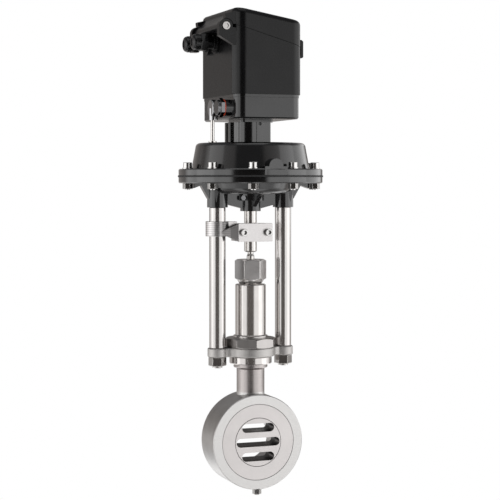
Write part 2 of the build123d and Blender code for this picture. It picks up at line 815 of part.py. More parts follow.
# Lower half of the diaphragm case, with the bosses that take the columns
lower_seam_z = seam_z - diaphragm_t / 2
upper_seam_z = seam_z + diaphragm_t / 2
bush_r = actuator_stem_d / 2 + running_fit + bush_wall
bowl_inner_z = bowl_floor_z + bowl_wall
rib_foot_r = centre_boss_d / 2 + rib_sink
vent_way = radians(vent_turn)
vent_plane = Plane(
    origin=(centre_collar_d / 2 * cos(vent_way), centre_collar_d / 2 * sin(vent_way), vent_z),
    x_dir=(-sin(vent_way), cos(vent_way), 0), z_dir=(cos(vent_way), sin(vent_way), 0))
with BuildPart() as lower_case:
    with BuildSketch(Plane.XZ):
        with BuildLine():
            Polyline(
                (0, bowl_floor_z), (bowl_r - bowl_slope, bowl_floor_z), (bowl_r, flange_bottom_z),
                (case_r - flange_edge, flange_bottom_z), (case_r, flange_bottom_z + flange_edge),
                (case_r, lower_seam_z), (0, lower_seam_z), close=True)
        make_face()
    revolve(axis=Axis.Z)
    fillet(lower_case.edges().filter_by(GeomType.CIRCLE).group_by(Axis.Z)[0], bowl_fillet)
    with BuildSketch(Plane.XZ.offset(-web_t / 2)):
        with BuildLine():
            Polyline(
                (-lug_rib_r, flange_bottom_z), (-lug_rib_r, lug_rib_z), (-gusset_r, gusset_lip_z),
                (-column_x - column_boss_d / 2, gusset_foot_z),
                (-column_x, web_outer_z), (-centre_boss_d / 2, web_inner_z),
                (centre_boss_d / 2, web_inner_z), (column_x, web_outer_z),
                (column_x + column_boss_d / 2, gusset_foot_z), (gusset_r, gusset_lip_z),
                (lug_rib_r, lug_rib_z), (lug_rib_r, flange_bottom_z), close=True)
        make_face()
    extrude(amount=web_t)
    with BuildSketch(Plane.YZ.offset(-rib_t / 2)):
        with BuildLine():
            Polyline(
                (-rib_r, bowl_floor_z + rib_sink), (-rib_foot_r, web_inner_z + rib_drop),
                (rib_foot_r, web_inner_z + rib_drop), (rib_r, bowl_floor_z + rib_sink), close=True)
        make_face()
    extrude(amount=rib_t)
    with BuildSketch(Plane.XY.offset(column_boss_z)):
        with Locations(*column_places):
            Circle(column_boss_d / 2)
    extrude(until=Until.NEXT)
    with BuildSketch(Plane.XY.offset(centre_boss_z)):
        Circle(centre_boss_d / 2)
    extrude(until=Until.NEXT)
    with BuildSketch(Plane.XY.offset(centre_collar_z)):
        Circle(centre_collar_d / 2)
    extrude(amount=bowl_inner_z - centre_collar_z)
    with BuildSketch(Plane.XY.offset(bowl_inner_z)):
        Circle(bowl_r - bowl_wall - bowl_slope)
    with BuildSketch(Plane.XY.offset(lower_seam_z)):
        Circle(bowl_r - bowl_wall)
    loft(mode=Mode.SUBTRACT)
    with BuildSketch(Plane.XY.offset(flange_bottom_z)):
        with PolarLocations(bolt_circle_d / 2, bolt_count, start_angle=bolt_first):
            Circle(screw_d / 2 + screw_clear)
    extrude(amount=lower_seam_z - flange_bottom_z, mode=Mode.SUBTRACT)
    with BuildSketch(Plane.XY.offset(column_boss_z)):
        with Locations(*column_places):
            Circle(column_thread_d / 2 + seat_fit)
    extrude(amount=column_hole_l + column_hole_clear, mode=Mode.SUBTRACT)
    with BuildSketch(Plane.XY.offset(centre_boss_z)):
        Circle(bush_r)
    extrude(amount=bowl_inner_z - centre_boss_z, mode=Mode.SUBTRACT)
    with BuildSketch(vent_plane):
        Circle(vent_d / 2)
    extrude(amount=-vent_l, mode=Mode.SUBTRACT)
save(lower_case.part, "lower_case")

# Upper half of the case: a domed shell with a blank boss on its front
port_face_y = case_r - port_inset
with BuildPart() as upper_case:
    with BuildSketch(Plane.XZ):
        with BuildLine():
            Polyline(
                (0, upper_seam_z), (case_r, upper_seam_z), (case_r, flange_top_z - flange_edge),
                (case_r - flange_edge, flange_top_z), (dome_base_d / 2, flange_top_z),
                (dome_top_d / 2, dome_top_z), (0, dome_top_z), close=True)
        make_face()
    revolve(axis=Axis.Z)
    fillet(upper_case.edges().filter_by(GeomType.CIRCLE).group_by(Axis.Z)[-1], dome_fillet)
    with BuildSketch(Plane.XZ.offset(dome_top_d / 2 - dome_wall)):
        with Locations((0, port_z)):
            Circle(port_r)
        with Locations((0, (upper_seam_z + port_z) / 2)):
            Rectangle(port_pad_w, port_z - upper_seam_z - 2 * screw_clear)
    extrude(amount=port_face_y - dome_top_d / 2 + dome_wall)
    with BuildSketch(Plane.XY.offset(upper_seam_z)):
        Circle(dome_base_d / 2 - dome_wall)
    with BuildSketch(Plane.XY.offset(dome_top_z - dome_wall)):
        Circle(dome_top_d / 2 - dome_wall)
    loft(mode=Mode.SUBTRACT)
    with BuildSketch(Plane.XY.offset(upper_seam_z)):
        with PolarLocations(bolt_circle_d / 2, bolt_count, start_angle=bolt_first):
            Circle(screw_d / 2 + screw_clear)
    extrude(amount=flange_top_z - upper_seam_z, mode=Mode.SUBTRACT)
    with BuildSketch(Plane.XY.offset(dome_top_z - dome_wall)):
        Circle(rod_bush_r)
        with Locations((pipe_x, elbow_y)):
            Circle(pipe_d / 2 + seat_fit)
    extrude(amount=dome_wall, mode=Mode.SUBTRACT)
save(upper_case.part, "upper_case")

# Diaphragm clamped between the halves, its plate, nut and return spring
with BuildPart() as diaphragm:
    with BuildSketch(Plane.XZ):
        with BuildLine():
            Polyline(
                (diaphragm_spigot_d / 2 + seat_fit, diaphragm_plate_top_z),
                (plate_d / 2, diaphragm_plate_top_z), (bowl_r - bowl_wall, lower_seam_z),
                (case_r + diaphragm_proud, lower_seam_z), (case_r + diaphragm_proud, upper_seam_z),
                (bowl_r - bowl_wall, upper_seam_z), (plate_d / 2, diaphragm_plate_top_z + diaphragm_t),
                (diaphragm_spigot_d / 2 + seat_fit, diaphragm_plate_top_z + diaphragm_t), close=True)
        make_face()
    revolve(axis=Axis.Z)
    with BuildSketch(Plane.XY.offset(lower_seam_z)):
        with PolarLocations(bolt_circle_d / 2, bolt_count, start_angle=bolt_first):
            Circle(screw_d / 2 + screw_clear)
    extrude(amount=diaphragm_t, mode=Mode.SUBTRACT)
save(diaphragm.part, "diaphragm")

with BuildPart() as diaphragm_plate:
    with BuildSketch(Plane.XY.offset(plate_z)):
        Circle(plate_d / 2)
        Circle(diaphragm_spigot_d / 2 + seat_fit, mode=Mode.SUBTRACT)
    extrude(amount=diaphragm_plate_t)
    fillet(diaphragm_plate.edges().filter_by(GeomType.CIRCLE).sort_by(SortBy.LENGTH)[-2:], plate_edge)
save(diaphragm_plate.part, "diaphragm_plate")

with BuildPart() as diaphragm_nut:
    with BuildSketch(Plane.XY.offset(nut_low_z)):
        hexagon(diaphragm_nut_af)
        Circle(diaphragm_spigot_d / 2 + seat_fit, mode=Mode.SUBTRACT)
    extrude(amount=diaphragm_nut_t)
save(diaphragm_nut.part, "diaphragm_nut")

coil_h = plate_z - bowl_inner_z - spring_wire_d
coil_low_z = bowl_inner_z + spring_wire_d / 2
with BuildPart() as return_spring:
    with BuildLine(Plane.XY.offset(coil_low_z)) as coil:
        Helix(coil_h / spring_turns, coil_h, spring_mean_d / 2)
    with BuildSketch(Plane(coil.line @ 0, z_dir=coil.line % 0)):
        Circle(spring_wire_d / 2)
    sweep(is_frenet=True)
save(return_spring.part, "return_spring")

# Bushes in the lower case and the dome, and the lower case's lip seal
with BuildPart() as stem_bushes:
    with BuildSketch(Plane.XY.offset(centre_boss_z)):
        Circle(bush_r)
        Circle(actuator_stem_d / 2 + running_fit, mode=Mode.SUBTRACT)
    extrude(amount=bowl_inner_z - centre_boss_z - seal_t)
    with BuildSketch(Plane.XY.offset(dome_top_z - dome_wall)):
        Circle(rod_bush_r)
        Circle(sensor_rod_d / 2 + running_fit, mode=Mode.SUBTRACT)
    extrude(amount=dome_wall)
save(stem_bushes.part, "stem_bushes")

with BuildPart() as stem_seal:
    with BuildSketch(Plane.XY.offset(bowl_inner_z - seal_t)):
        Circle(bush_r)
        Circle(actuator_stem_d / 2 + running_fit, mode=Mode.SUBTRACT)
    extrude(amount=seal_t)
save(stem_seal.part, "stem_seal")

# Ring of screws, washers and nuts that closes the case
screw_head_z = flange_top_z + flange_washer_t
screw_end_z = flange_bottom_z - nut_t - screw_tail
with BuildPart() as flange_screws:
    with BuildSketch(Plane.XY.offset(screw_head_z)):
        with PolarLocations(bolt_circle_d / 2, bolt_count, start_angle=bolt_first):
            Circle(screw_head_d / 2)
    extrude(amount=screw_head_h)
    fillet(flange_screws.faces().sort_by(Axis.Z)[-bolt_count:].edges(), fine_edge)
    with BuildSketch(Plane.XY.offset(screw_end_z)):
        with PolarLocations(bolt_circle_d / 2, bolt_count, start_angle=bolt_first):
            Circle(screw_d / 2)
    extrude(amount=screw_head_z - screw_end_z)
    with BuildSketch(Plane.XY.offset(screw_head_z + screw_head_h)):
        with PolarLocations(bolt_circle_d / 2, bolt_count, start_angle=bolt_first):
            hexagon(screw_socket_af)
    extrude(amount=-screw_head_h / 2, mode=Mode.SUBTRACT)
save(flange_screws.part, "flange_screws")

with BuildPart() as flange_washers:
    with BuildSketch(Plane.XY.offset(flange_top_z)):
        with PolarLocations(bolt_circle_d / 2, bolt_count, start_angle=bolt_first):
            Circle(flange_washer_d / 2)
            Circle(screw_d / 2 + seat_fit, mode=Mode.SUBTRACT)
    extrude(amount=flange_washer_t)
save(flange_washers.part, "flange_washers")

with BuildPart() as flange_nuts:
    with BuildSketch(Plane.XY.offset(flange_bottom_z - nut_t)):
        with PolarLocations(bolt_circle_d / 2, bolt_count, start_angle=bolt_first, rotate=False):
            hexagon(nut_af, nut_turn)
            Circle(screw_d / 2 + seat_fit, mode=Mode.SUBTRACT)
    extrude(amount=nut_t)
save(flange_nuts.part, "flange_nuts")

# Breather in the lower case's collar
with BuildPart() as vent_plug:
    with BuildSketch(vent_plane):
        hexagon(vent_af)
    extrude(amount=vent_l)
    with BuildSketch(vent_plane):
        Circle(vent_d / 2 - running_fit)
    extrude(amount=-vent_l)
save(vent_plug.part, "vent_plug")

# Bracket clamped on the stem, guided by a ring on the left column
bracket_low_z = bracket_z - bracket_h / 2
bracket_back_y = bracket_front_y + bracket_t
ring_low_z = guide_ring_z - guide_ring_h / 2
stem_grip_r = actuator_stem_d / 2 + running_fit
with BuildPart() as guide_bracket:
    with BuildSketch(Plane.XZ.offset(-bracket_front_y)):
        with Locations((0, bracket_z)):
            RectangleRounded(bracket_w, bracket_h, bracket_corner)
    extrude(amount=-bracket_t)
    with BuildSketch(Plane.XZ.offset(-bracket_back_y)):
        with Locations((0, bracket_z)):
            Rectangle(bracket_w - 2 * bracket_step, bracket_h - bracket_step)
    extrude(amount=bracket_back_y + jaw_split / 2)
    with BuildSketch(Plane.YZ.offset(-bracket_w / 2 + bracket_step)):
        with Locations(((bracket_front_y + bracket_back_y) / 2, bracket_z)):
            Rectangle(bracket_t, bracket_h)
    with BuildSketch(Plane.YZ.offset(-column_x)):
        with Locations((-guide_ring_d / 2 + arm_tip_t / 2, bracket_z)):
            Rectangle(arm_tip_t, arm_tip_h)
    loft()
    with BuildSketch(Plane.XY.offset(ring_low_z)):
        with Locations(column_places[0]):
            Circle(guide_ring_d / 2)
        with Locations((-(column_x + bracket_w / 2) / 2, strap_y)):
            Rectangle(column_x - bracket_w / 2 + strap_lap, strap_t)
    extrude(amount=guide_ring_h)
    with BuildSketch(Plane.XY.offset(bracket_low_z)):
        Circle(stem_grip_r)
        with Locations(column_places[0]):
            Circle(column_d / 2 + guide_clear)
    extrude(amount=2 * bracket_h, mode=Mode.SUBTRACT)
    with BuildSketch(Plane.XZ.offset(-bracket_front_y)):
        with Locations((-bracket_screw_x, bracket_z), (bracket_screw_x, bracket_z)):
            Circle(bracket_screw_d / 2 + seat_fit)
    extrude(amount=bracket_front_y, mode=Mode.SUBTRACT)
save(guide_bracket.part, "guide_bracket")

with BuildPart() as clamp_jaw:
    with BuildSketch(Plane.XZ.offset(-jaw_split / 2)):
        with Locations((0, bracket_z)):
            Rectangle(bracket_w - 2 * bracket_step, bracket_h - bracket_step)
    extrude(amount=jaw_split / 2 - jaw_back_y)
    chamfer(clamp_jaw.faces().sort_by(Axis.Y)[-1].edges(), jaw_chamfer)
    with BuildSketch(Plane.XY.offset(bracket_low_z)):
        Circle(stem_grip_r)
    extrude(amount=bracket_h, mode=Mode.SUBTRACT)
    with BuildSketch(Plane.XZ.offset(-jaw_back_y)):
        with Locations((-bracket_screw_x, bracket_z), (bracket_screw_x, bracket_z)):
            Circle(bracket_screw_d / 2 + seat_fit)
    extrude(amount=jaw_back_y, mode=Mode.SUBTRACT)
save(clamp_jaw.part, "clamp_jaw")

with BuildPart() as clamp_screws:
    with BuildSketch(Plane.XZ.offset(-bracket_front_y)):
        with Locations((-bracket_screw_x, bracket_z), (bracket_screw_x, bracket_z)):
            Circle(bracket_head_d / 2)
    extrude(amount=bracket_head_h)
    fillet(clamp_screws.edges().group_by(Axis.Y)[0], bracket_head_edge)
    with BuildSketch(Plane.XZ.offset(-bracket_front_y)):
        with Locations((-bracket_screw_x, bracket_z), (bracket_screw_x, bracket_z)):
            Circle(bracket_screw_d / 2)
    extrude(amount=bracket_front_y - jaw_back_y)
    with BuildSketch(Plane.XZ.offset(-bracket_front_y + bracket_head_h)):
        with Locations((-bracket_screw_x, bracket_z), (bracket_screw_x, bracket_z)):
            hexagon(bracket_socket_af)
    extrude(amount=-bracket_socket_depth, mode=Mode.SUBTRACT)
save(clamp_screws.part, "clamp_screws")

# Foot that carries the positioner on the case
support_z = base_z - support_t
with BuildPart() as positioner_foot:
    with BuildSketch(Plane.XY.offset(dome_top_z)):
        with Locations((foot_right_x - foot_block_w / 2, 0)):
            Rectangle(foot_block_w, 2 * foot_block_y)
    extrude(amount=support_z - dome_top_z)
    fillet(positioner_foot.edges().filter_by(Axis.Z).group_by(Axis.X)[0], foot_round)
    fillet(positioner_foot.edges().filter_by(Axis.Z).group_by(Axis.X)[-1], foot_corner)
    with BuildSketch(Plane.XY.offset(dome_top_z)):
        with Locations((-foot_leg_x / 2, 0)):
            Rectangle(foot_leg_x, foot_leg_w)
    extrude(amount=support_z - dome_top_z)
    with BuildSketch(Plane.XZ.offset(foot_block_y - foot_strip_t)):
        with Locations((0, (dome_top_z + support_z) / 2)):
            Rectangle(foot_strip_w, support_z - dome_top_z)
    extrude(amount=2 * foot_strip_t)
    with BuildSketch(Plane.XY.offset(dome_top_z)):
        with Locations((-foot_leg_x, 0)):
            Rectangle(2 * foot_groove_t, foot_groove_w)
    extrude(amount=support_z - dome_top_z, mode=Mode.SUBTRACT)
    with BuildSketch(Plane.XY.offset(dome_top_z)):
        Circle(foot_bore_d / 2)
    extrude(amount=support_z - dome_top_z, mode=Mode.SUBTRACT)
    with BuildSketch(Plane.XZ.offset(foot_block_y + foot_strip_t)):
        with Locations((0, set_screw_z)):
            Circle(set_screw_d / 2)
    extrude(amount=-set_screw_l, mode=Mode.SUBTRACT)
save(positioner_foot.part, "positioner_foot")

with BuildPart() as set_screw:
    with BuildSketch(Plane.XZ.offset(foot_block_y - set_screw_sink)):
        with Locations((0, set_screw_z)):
            Circle(set_screw_d / 2 - running_fit)
            hexagon(set_screw_socket_af)
    extrude(amount=-(set_screw_l - foot_strip_t - set_screw_sink))
save(set_screw.part, "set_screw")

with BuildPart() as support_plate:
    with BuildSketch(Plane.XY.offset(support_z)):
        RectangleRounded(support_w, support_l, support_corner)
        Circle(foot_bore_d / 2, mode=Mode.SUBTRACT)
    extrude(amount=support_t)
save(support_plate.part, "support_plate")

# Feedback rod from the diaphragm to the positioner
with BuildPart() as sensor_rod:
    with BuildSketch(Plane.XY.offset(spigot_end_z)):
        Circle(sensor_rod_d / 2)
    extrude(amount=sensor_rod_top_z - spigot_end_z)
    chamfer(sensor_rod.faces().sort_by(Axis.Z)[-1].edges(), rod_chamfer)
    with BuildSketch(Plane.XY.offset(spigot_end_z)):
        Circle(rod_thread_d / 2)
    extrude(amount=-thread_engage)
save(sensor_rod.part, "sensor_rod")

# Positioner case: base, housing with its hinge ears, sloping lid
base_w = case_w - 2 * base_inset
base_l = case_l - 2 * base_inset
base_top_z = base_z + base_h
seam_slant = tan(radians(seam_slope))
seam_left_z = seam_right_z + case_w * seam_slant
far_x = 2 * case_w
base_wall_x = -base_w / 2 + base_step
base_corner = case_corner - base_inset
ear_root_x = -case_w / 2 + ear_root
plug_hex_x = fitting_end_x + plug_face_l
plug_ring_x = plug_hex_x + plug_hex_l
plug_body_x = plug_ring_x + ring_w
with BuildPart() as positioner_base:
    with BuildSketch(Plane.XY.offset(base_z)):
        RectangleRounded(base_w - 2 * base_step, base_l - 2 * base_step, base_corner - base_step)
    extrude(amount=base_h)
    chamfer(positioner_base.faces().sort_by(Axis.Z)[0].edges(), base_chamfer)
    with BuildSketch(Plane.XY.offset(base_top_z - base_rim_h)):
        RectangleRounded(base_w, base_l, base_corner)
    extrude(amount=base_rim_h)
    with BuildSketch(Plane.XY.offset(base_z + base_floor)):
        RectangleRounded(base_w - 2 * wall, base_l - 2 * wall, base_corner - wall)
    extrude(amount=base_h, mode=Mode.SUBTRACT)
    with BuildSketch(Plane.XY.offset(base_z)):
        Circle(rod_hole_d / 2)
    extrude(amount=base_floor, mode=Mode.SUBTRACT)
    with BuildSketch(Plane.YZ.offset(plug_body_x)):
        with Locations((plug_y, fitting_z)):
            Circle(plug_socket_d / 2)
    extrude(amount=base_wall_x - plug_body_x + wall / 2)
    with BuildSketch(Plane.YZ.offset(plug_body_x)):
        with Locations((elbow_y, fitting_z), (plug_y, fitting_z)):
            Circle(port_thread_d / 2 + seat_fit)
    extrude(amount=base_wall_x - plug_body_x + port_thread_l, mode=Mode.SUBTRACT)
save(positioner_base.part, "positioner_base")

with BuildPart() as positioner_housing:
    with BuildSketch(Plane.XY.offset(base_top_z)):
        RectangleRounded(case_w, case_l, case_corner)
    extrude(amount=seam_left_z - base_top_z)
    with BuildSketch(Plane.YZ.offset(-case_w / 2 + wall)):
        with Locations((cable_front_y, cable_z), (cable_back_y, cable_z)):
            Circle(cable_boss_d / 2)
    extrude(amount=-wall - cable_boss_l)
    with BuildSketch(Plane.XY.offset(base_top_z)):
        RectangleRounded(case_w - 2 * wall, case_l - 2 * wall, case_corner - wall)
    extrude(amount=seam_left_z - base_top_z, mode=Mode.SUBTRACT)
    with BuildSketch(Plane.XZ):
        with BuildLine():
            Polyline(
                (case_w / 2 - far_x, seam_right_z + far_x * seam_slant),
                (case_w / 2 + far_x, seam_right_z - far_x * seam_slant),
                (case_w / 2 + far_x, lid_left_z + far_x), (case_w / 2 - far_x, lid_left_z + far_x),
                close=True)
        make_face()
    extrude(amount=case_l, both=True, mode=Mode.SUBTRACT)
    for ear_y, ear_dir in ((ear_front_y, 1), (ear_back_y, -1)):
        with BuildSketch(Plane.XZ.offset(-ear_y)):
            with BuildLine():
                Polyline(
                    (hinge_x - ear_r, hinge_z), (hinge_x - ear_r, ear_knee_z),
                    (-case_w / 2, ear_foot_z), (ear_root_x, ear_foot_z),
                    (ear_root_x, hinge_z - ear_root_drop), (hinge_x, hinge_z),
                    close=True)
            make_face()
            with Locations((hinge_x, hinge_z)):
                Circle(ear_r)
            with Locations((hinge_x, hinge_z)):
                Circle(hinge_pin_d / 2 + seat_fit, mode=Mode.SUBTRACT)
        extrude(amount=-ear_dir * ear_t)
    with BuildSketch(Plane.YZ.offset(-case_w / 2 - cable_boss_l)):
        with Locations((cable_front_y, cable_z), (cable_back_y, cable_z)):
            Circle(cable_thread_d / 2 + seat_fit)
    extrude(amount=wall + cable_boss_l, mode=Mode.SUBTRACT)
save(positioner_housing.part, "positioner_housing")

lid_seam_z = seam_right_z + seam_gap
hood_front_y = ear_front_y + ear_t + hinge_gap
hood_back_y = ear_back_y - ear_t - hinge_gap
hood_l = hood_back_y - hood_front_y
tangent = radians(hood_tangent)
cheek_way = radians(cheek_turn)
lid_seam_left_z = lid_seam_z + case_w * seam_slant
seam_plane = Plane(
    origin=(0, 0, (lid_seam_z + lid_seam_left_z) / 2),
    x_dir=(cos(radians(seam_slope)), 0, -sin(radians(seam_slope))),
    z_dir=(sin(radians(seam_slope)), 0, cos(radians(seam_slope))))
gasket_out_w = (case_w - wall + gasket_w) / cos(radians(seam_slope))
gasket_out_l = case_l - wall + gasket_w
gasket_corner = case_corner - (wall - gasket_w) / 2
with BuildPart() as lid_cavity:
    with BuildSketch(Plane.XY.offset(seam_right_z)):
        RectangleRounded(case_w - 2 * wall, case_l - 2 * wall, case_corner - wall)
    extrude(amount=lid_left_z - seam_right_z)
    with BuildSketch(Plane.XZ):
        with BuildLine():
            Polyline(
                (case_w / 2, seam_right_z), (case_w / 2, lid_right_z - wall),
                (-case_w / 2, lid_left_z - wall), (-case_w / 2, seam_right_z), close=True)
        make_face()
    extrude(amount=case_l, both=True, mode=Mode.INTERSECT)
    fillet(lid_cavity.faces().sort_by(Axis.Z)[-1].edges(), lid_top_fillet - wall)
with BuildPart() as positioner_lid:
    with BuildSketch(Plane.XY.offset(seam_right_z)):
        RectangleRounded(case_w, case_l, case_corner)
    extrude(amount=lid_left_z - seam_right_z)
    with BuildSketch(Plane.XZ):
        with BuildLine():
            Polyline(
                (case_w / 2, lid_seam_z), (case_w / 2, lid_right_z), (-case_w / 2, lid_left_z),
                (-case_w / 2, lid_seam_left_z), close=True)
        make_face()
    extrude(amount=case_l, both=True, mode=Mode.INTERSECT)
    fillet(positioner_lid.faces().sort_by(Axis.Z)[-1].edges(), lid_top_fillet)
    with BuildSketch(Plane.XZ.offset(-hood_front_y)):
        with BuildLine():
            Polyline(
                (-case_w / 2 + case_lap, hood_top_z),
                (hinge_x + hinge_r * cos(tangent), hinge_z + hinge_r * sin(tangent)),
                (hinge_x, hinge_z), (hinge_x + hinge_r - case_lap, lid_seam_left_z),
                (-case_w / 2 + case_lap, lid_seam_left_z), close=True)
        make_face()
        with Locations((hinge_x, hinge_z)):
            Circle(hinge_r)
    extrude(amount=-hood_l)
    with BuildSketch(Plane.XZ.offset(-ear_front_y), Plane.XZ.offset(-hood_back_y)):
        with BuildLine():
            Polyline(
                (ear_root_x, lid_seam_left_z), (ear_root_x, hood_top_z),
                (hinge_x + cheek_r * cos(cheek_way), hinge_z + cheek_r * sin(cheek_way)),
                (hinge_x, hinge_z), (hinge_x + ear_r, lid_seam_left_z), close=True)
        make_face()
        with Locations((hinge_x, hinge_z)):
            Circle(ear_r + cheek_gap, mode=Mode.SUBTRACT)
    extrude(amount=-(ear_t + hinge_gap))
    with BuildSketch(Plane.XZ.offset(-hood_front_y), Plane.XZ.offset(-hood_back_y)):
        with Locations((hinge_x, hinge_z)):
            Circle(hinge_pin_d / 2 + running_fit)
    extrude(amount=hinge_pin_l, both=True, mode=Mode.SUBTRACT)
    add(lid_cavity.part, mode=Mode.SUBTRACT)
    with BuildSketch(seam_plane):
        RectangleRounded(gasket_out_w, gasket_out_l, gasket_corner)
        RectangleRounded(
            gasket_out_w - 2 * gasket_w, gasket_out_l - 2 * gasket_w, gasket_corner - gasket_w,
            mode=Mode.SUBTRACT)
    extrude(amount=lid_gasket_t, mode=Mode.SUBTRACT)
save(positioner_lid.part, "positioner_lid")

# Seal in the lid's rim, finger clip and hinge screws
with BuildPart() as lid_gasket:
    with BuildSketch(seam_plane):
        RectangleRounded(gasket_out_w, gasket_out_l, gasket_corner)
        RectangleRounded(
            gasket_out_w - 2 * gasket_w, gasket_out_l - 2 * gasket_w, gasket_corner - gasket_w,
            mode=Mode.SUBTRACT)
    extrude(amount=lid_gasket_t)
save(lid_gasket.part, "lid_gasket")

clip_nose_x = clip_x - clip_t - clip_nose
with BuildPart() as lid_clip:
    with BuildSketch(Plane.XZ.offset(-clip_w / 2)):
        with BuildLine():
            Polyline(
                (case_w / 2, clip_high_z), (clip_x - clip_bevel, clip_high_z),
                (clip_x, clip_high_z - clip_bevel), (clip_x, clip_low_z + clip_toe),
                (clip_x - clip_toe, clip_low_z), (clip_nose_x, clip_low_z),
                (clip_nose_x, clip_low_z + clip_bevel),
                (clip_x - clip_t, clip_low_z + clip_bevel + clip_toe),
                (clip_x - clip_t, seam_right_z + clip_t), (case_w / 2, seam_right_z + clip_t),
                close=True)
        make_face()
    extrude(amount=clip_w)
    fillet(lid_clip.edges().filter_by(Axis.X), clip_fillet)
save(lid_clip.part, "lid_clip")

with BuildPart() as hinge_screws:
    for head_y, head_dir in ((ear_front_y, 1), (ear_back_y, -1)):
        with BuildSketch(Plane.XZ.offset(-head_y)):
            with Locations((hinge_x, hinge_z)):
                Circle(hinge_head_d / 2)
        extrude(amount=head_dir * hinge_head_h)
        with BuildSketch(Plane.XZ.offset(-head_y)):
            with Locations((hinge_x, hinge_z)):
                Circle(hinge_pin_d / 2)
        extrude(amount=-head_dir * (ear_t + hinge_pin_l - hinge_pin_end))
    with BuildSketch(Plane.XZ.offset(-ear_front_y + hinge_head_h)):
        with Locations((hinge_x, hinge_z)):
            hexagon(hinge_socket_af)
    extrude(amount=-hinge_socket_depth, mode=Mode.SUBTRACT)
save(hinge_screws.part, "hinge_screws")

# What the positioner holds: board on posts, terminals, pilot valve, travel sensor
post_x = board_w / 2 - post_d
post_y = board_l / 2 - post_d
floor_z = base_z + base_floor
board_top_z = board_z + board_t
with BuildPart() as board_posts:
    with BuildSketch(Plane.XY.offset(floor_z)):
        with GridLocations(2 * post_x, 2 * post_y, 2, 2):
            hexagon(post_d)
    extrude(amount=board_z - floor_z)
save(board_posts.part, "board_posts")

with BuildPart() as circuit_board:
    with BuildSketch(Plane.XY.offset(board_z)):
        RectangleRounded(board_w, board_l, board_corner)
    extrude(amount=board_t)
save(circuit_board.part, "circuit_board")

terminal_x = -board_w / 2 + terminal_w / 2 + post_d + terminal_gap
with BuildPart() as terminal_block:
    with BuildSketch(Plane.XY.offset(board_top_z)):
        with Locations((terminal_x, 0)):
            Rectangle(terminal_w, terminal_l)
    extrude(amount=terminal_h)
    with BuildSketch(Plane.XY.offset(board_top_z + terminal_h)):
        with Locations((terminal_x, 0)):
            with GridLocations(0, terminal_l / terminal_ways, 1, terminal_ways):
                Circle(terminal_screw_d / 2)
    extrude(amount=-terminal_h / 2, mode=Mode.SUBTRACT)
save(terminal_block.part, "terminal_block")

with BuildPart() as pilot_valve:
    with BuildSketch(Plane.XY.offset(floor_z)):
        with Locations((0, pilot_y)):
            RectangleRounded(pilot_w, pilot_l, board_corner)
    extrude(amount=pilot_h)
    with BuildSketch(Plane.XY.offset(floor_z + pilot_h)):
        with Locations((0, pilot_y)):
            with GridLocations(pilot_w / 2, 0, 2, 1):
                Circle(pilot_coil_d / 2)
    extrude(amount=board_z - floor_z - pilot_h - pilot_coil_gap)
save(pilot_valve.part, "pilot_valve")

sensor_low_x = sensor_rod_d / 2 + sensor_clear
with BuildPart() as travel_sensor:
    with BuildSketch(Plane.XY.offset(floor_z)):
        with Locations((sensor_low_x + sensor_w / 2, 0)):
            Rectangle(sensor_w, sensor_l)
    extrude(amount=sensor_h)
    chamfer(travel_sensor.faces().sort_by(Axis.Z)[-1].edges(), sensor_chamfer)
save(travel_sensor.part, "travel_sensor")

# Cable glands: bodies, domed caps and blanking plugs
cable_places = [(cable_front_y, cable_z), (cable_back_y, cable_z)]
cable_seat_x = -case_w / 2 - cable_boss_l
cable_cap_x = cable_tip_x + cable_cap_l
cable_inner_x = -case_w / 2 + wall
with BuildPart() as cable_glands:
    with BuildSketch(Plane.YZ.offset(cable_inner_x)):
        with Locations(*cable_places):
            Circle(cable_thread_d / 2)
    extrude(amount=cable_cap_x - cable_inner_x)
    with BuildSketch(Plane.YZ.offset(cable_seat_x)):
        with Locations(*cable_places):
            Circle(cable_thread_d / 2 + cable_collar_w)
    extrude(amount=-cable_collar_t)
    with BuildSketch(Plane.YZ.offset(cable_cap_x)):
        with Locations(*cable_places):
            hexagon(cable_af)
    extrude(amount=cable_hex_l)
    chamfer(cable_glands.faces().filter_by(Axis.X).group_by(Axis.X)[0].edges(), fine_edge)
    with BuildSketch(Plane.YZ.offset(cable_cap_x)):
        with Locations(*cable_places):
            Circle(cable_bore_d / 2)
    extrude(amount=cable_inner_x - cable_cap_x, mode=Mode.SUBTRACT)
save(cable_glands.part, "cable_glands")

with BuildPart() as gland_caps:
    with BuildSketch(Plane.YZ.offset(cable_cap_x)):
        with Locations(*cable_places):
            Circle(cable_cap_d / 2)
    extrude(amount=-cable_cap_l)
    fillet(gland_caps.faces().filter_by(Axis.X).group_by(Axis.X)[0].edges(), cable_cap_round)
    with BuildSketch(Plane.YZ.offset(cable_tip_x)):
        with Locations(*cable_places):
            Circle(cable_bore_d / 2)
    extrude(amount=cable_cap_l, mode=Mode.SUBTRACT)
save(gland_caps.part, "gland_caps")

with BuildPart() as gland_plugs:
    with BuildSketch(Plane.YZ.offset(cable_tip_x + cable_plug_sink)):
        with Locations(*cable_places):
            Circle(cable_bore_d / 2 - running_fit)
    extrude(amount=cable_cap_l + cable_hex_l)
save(gland_plugs.part, "gland_plugs")

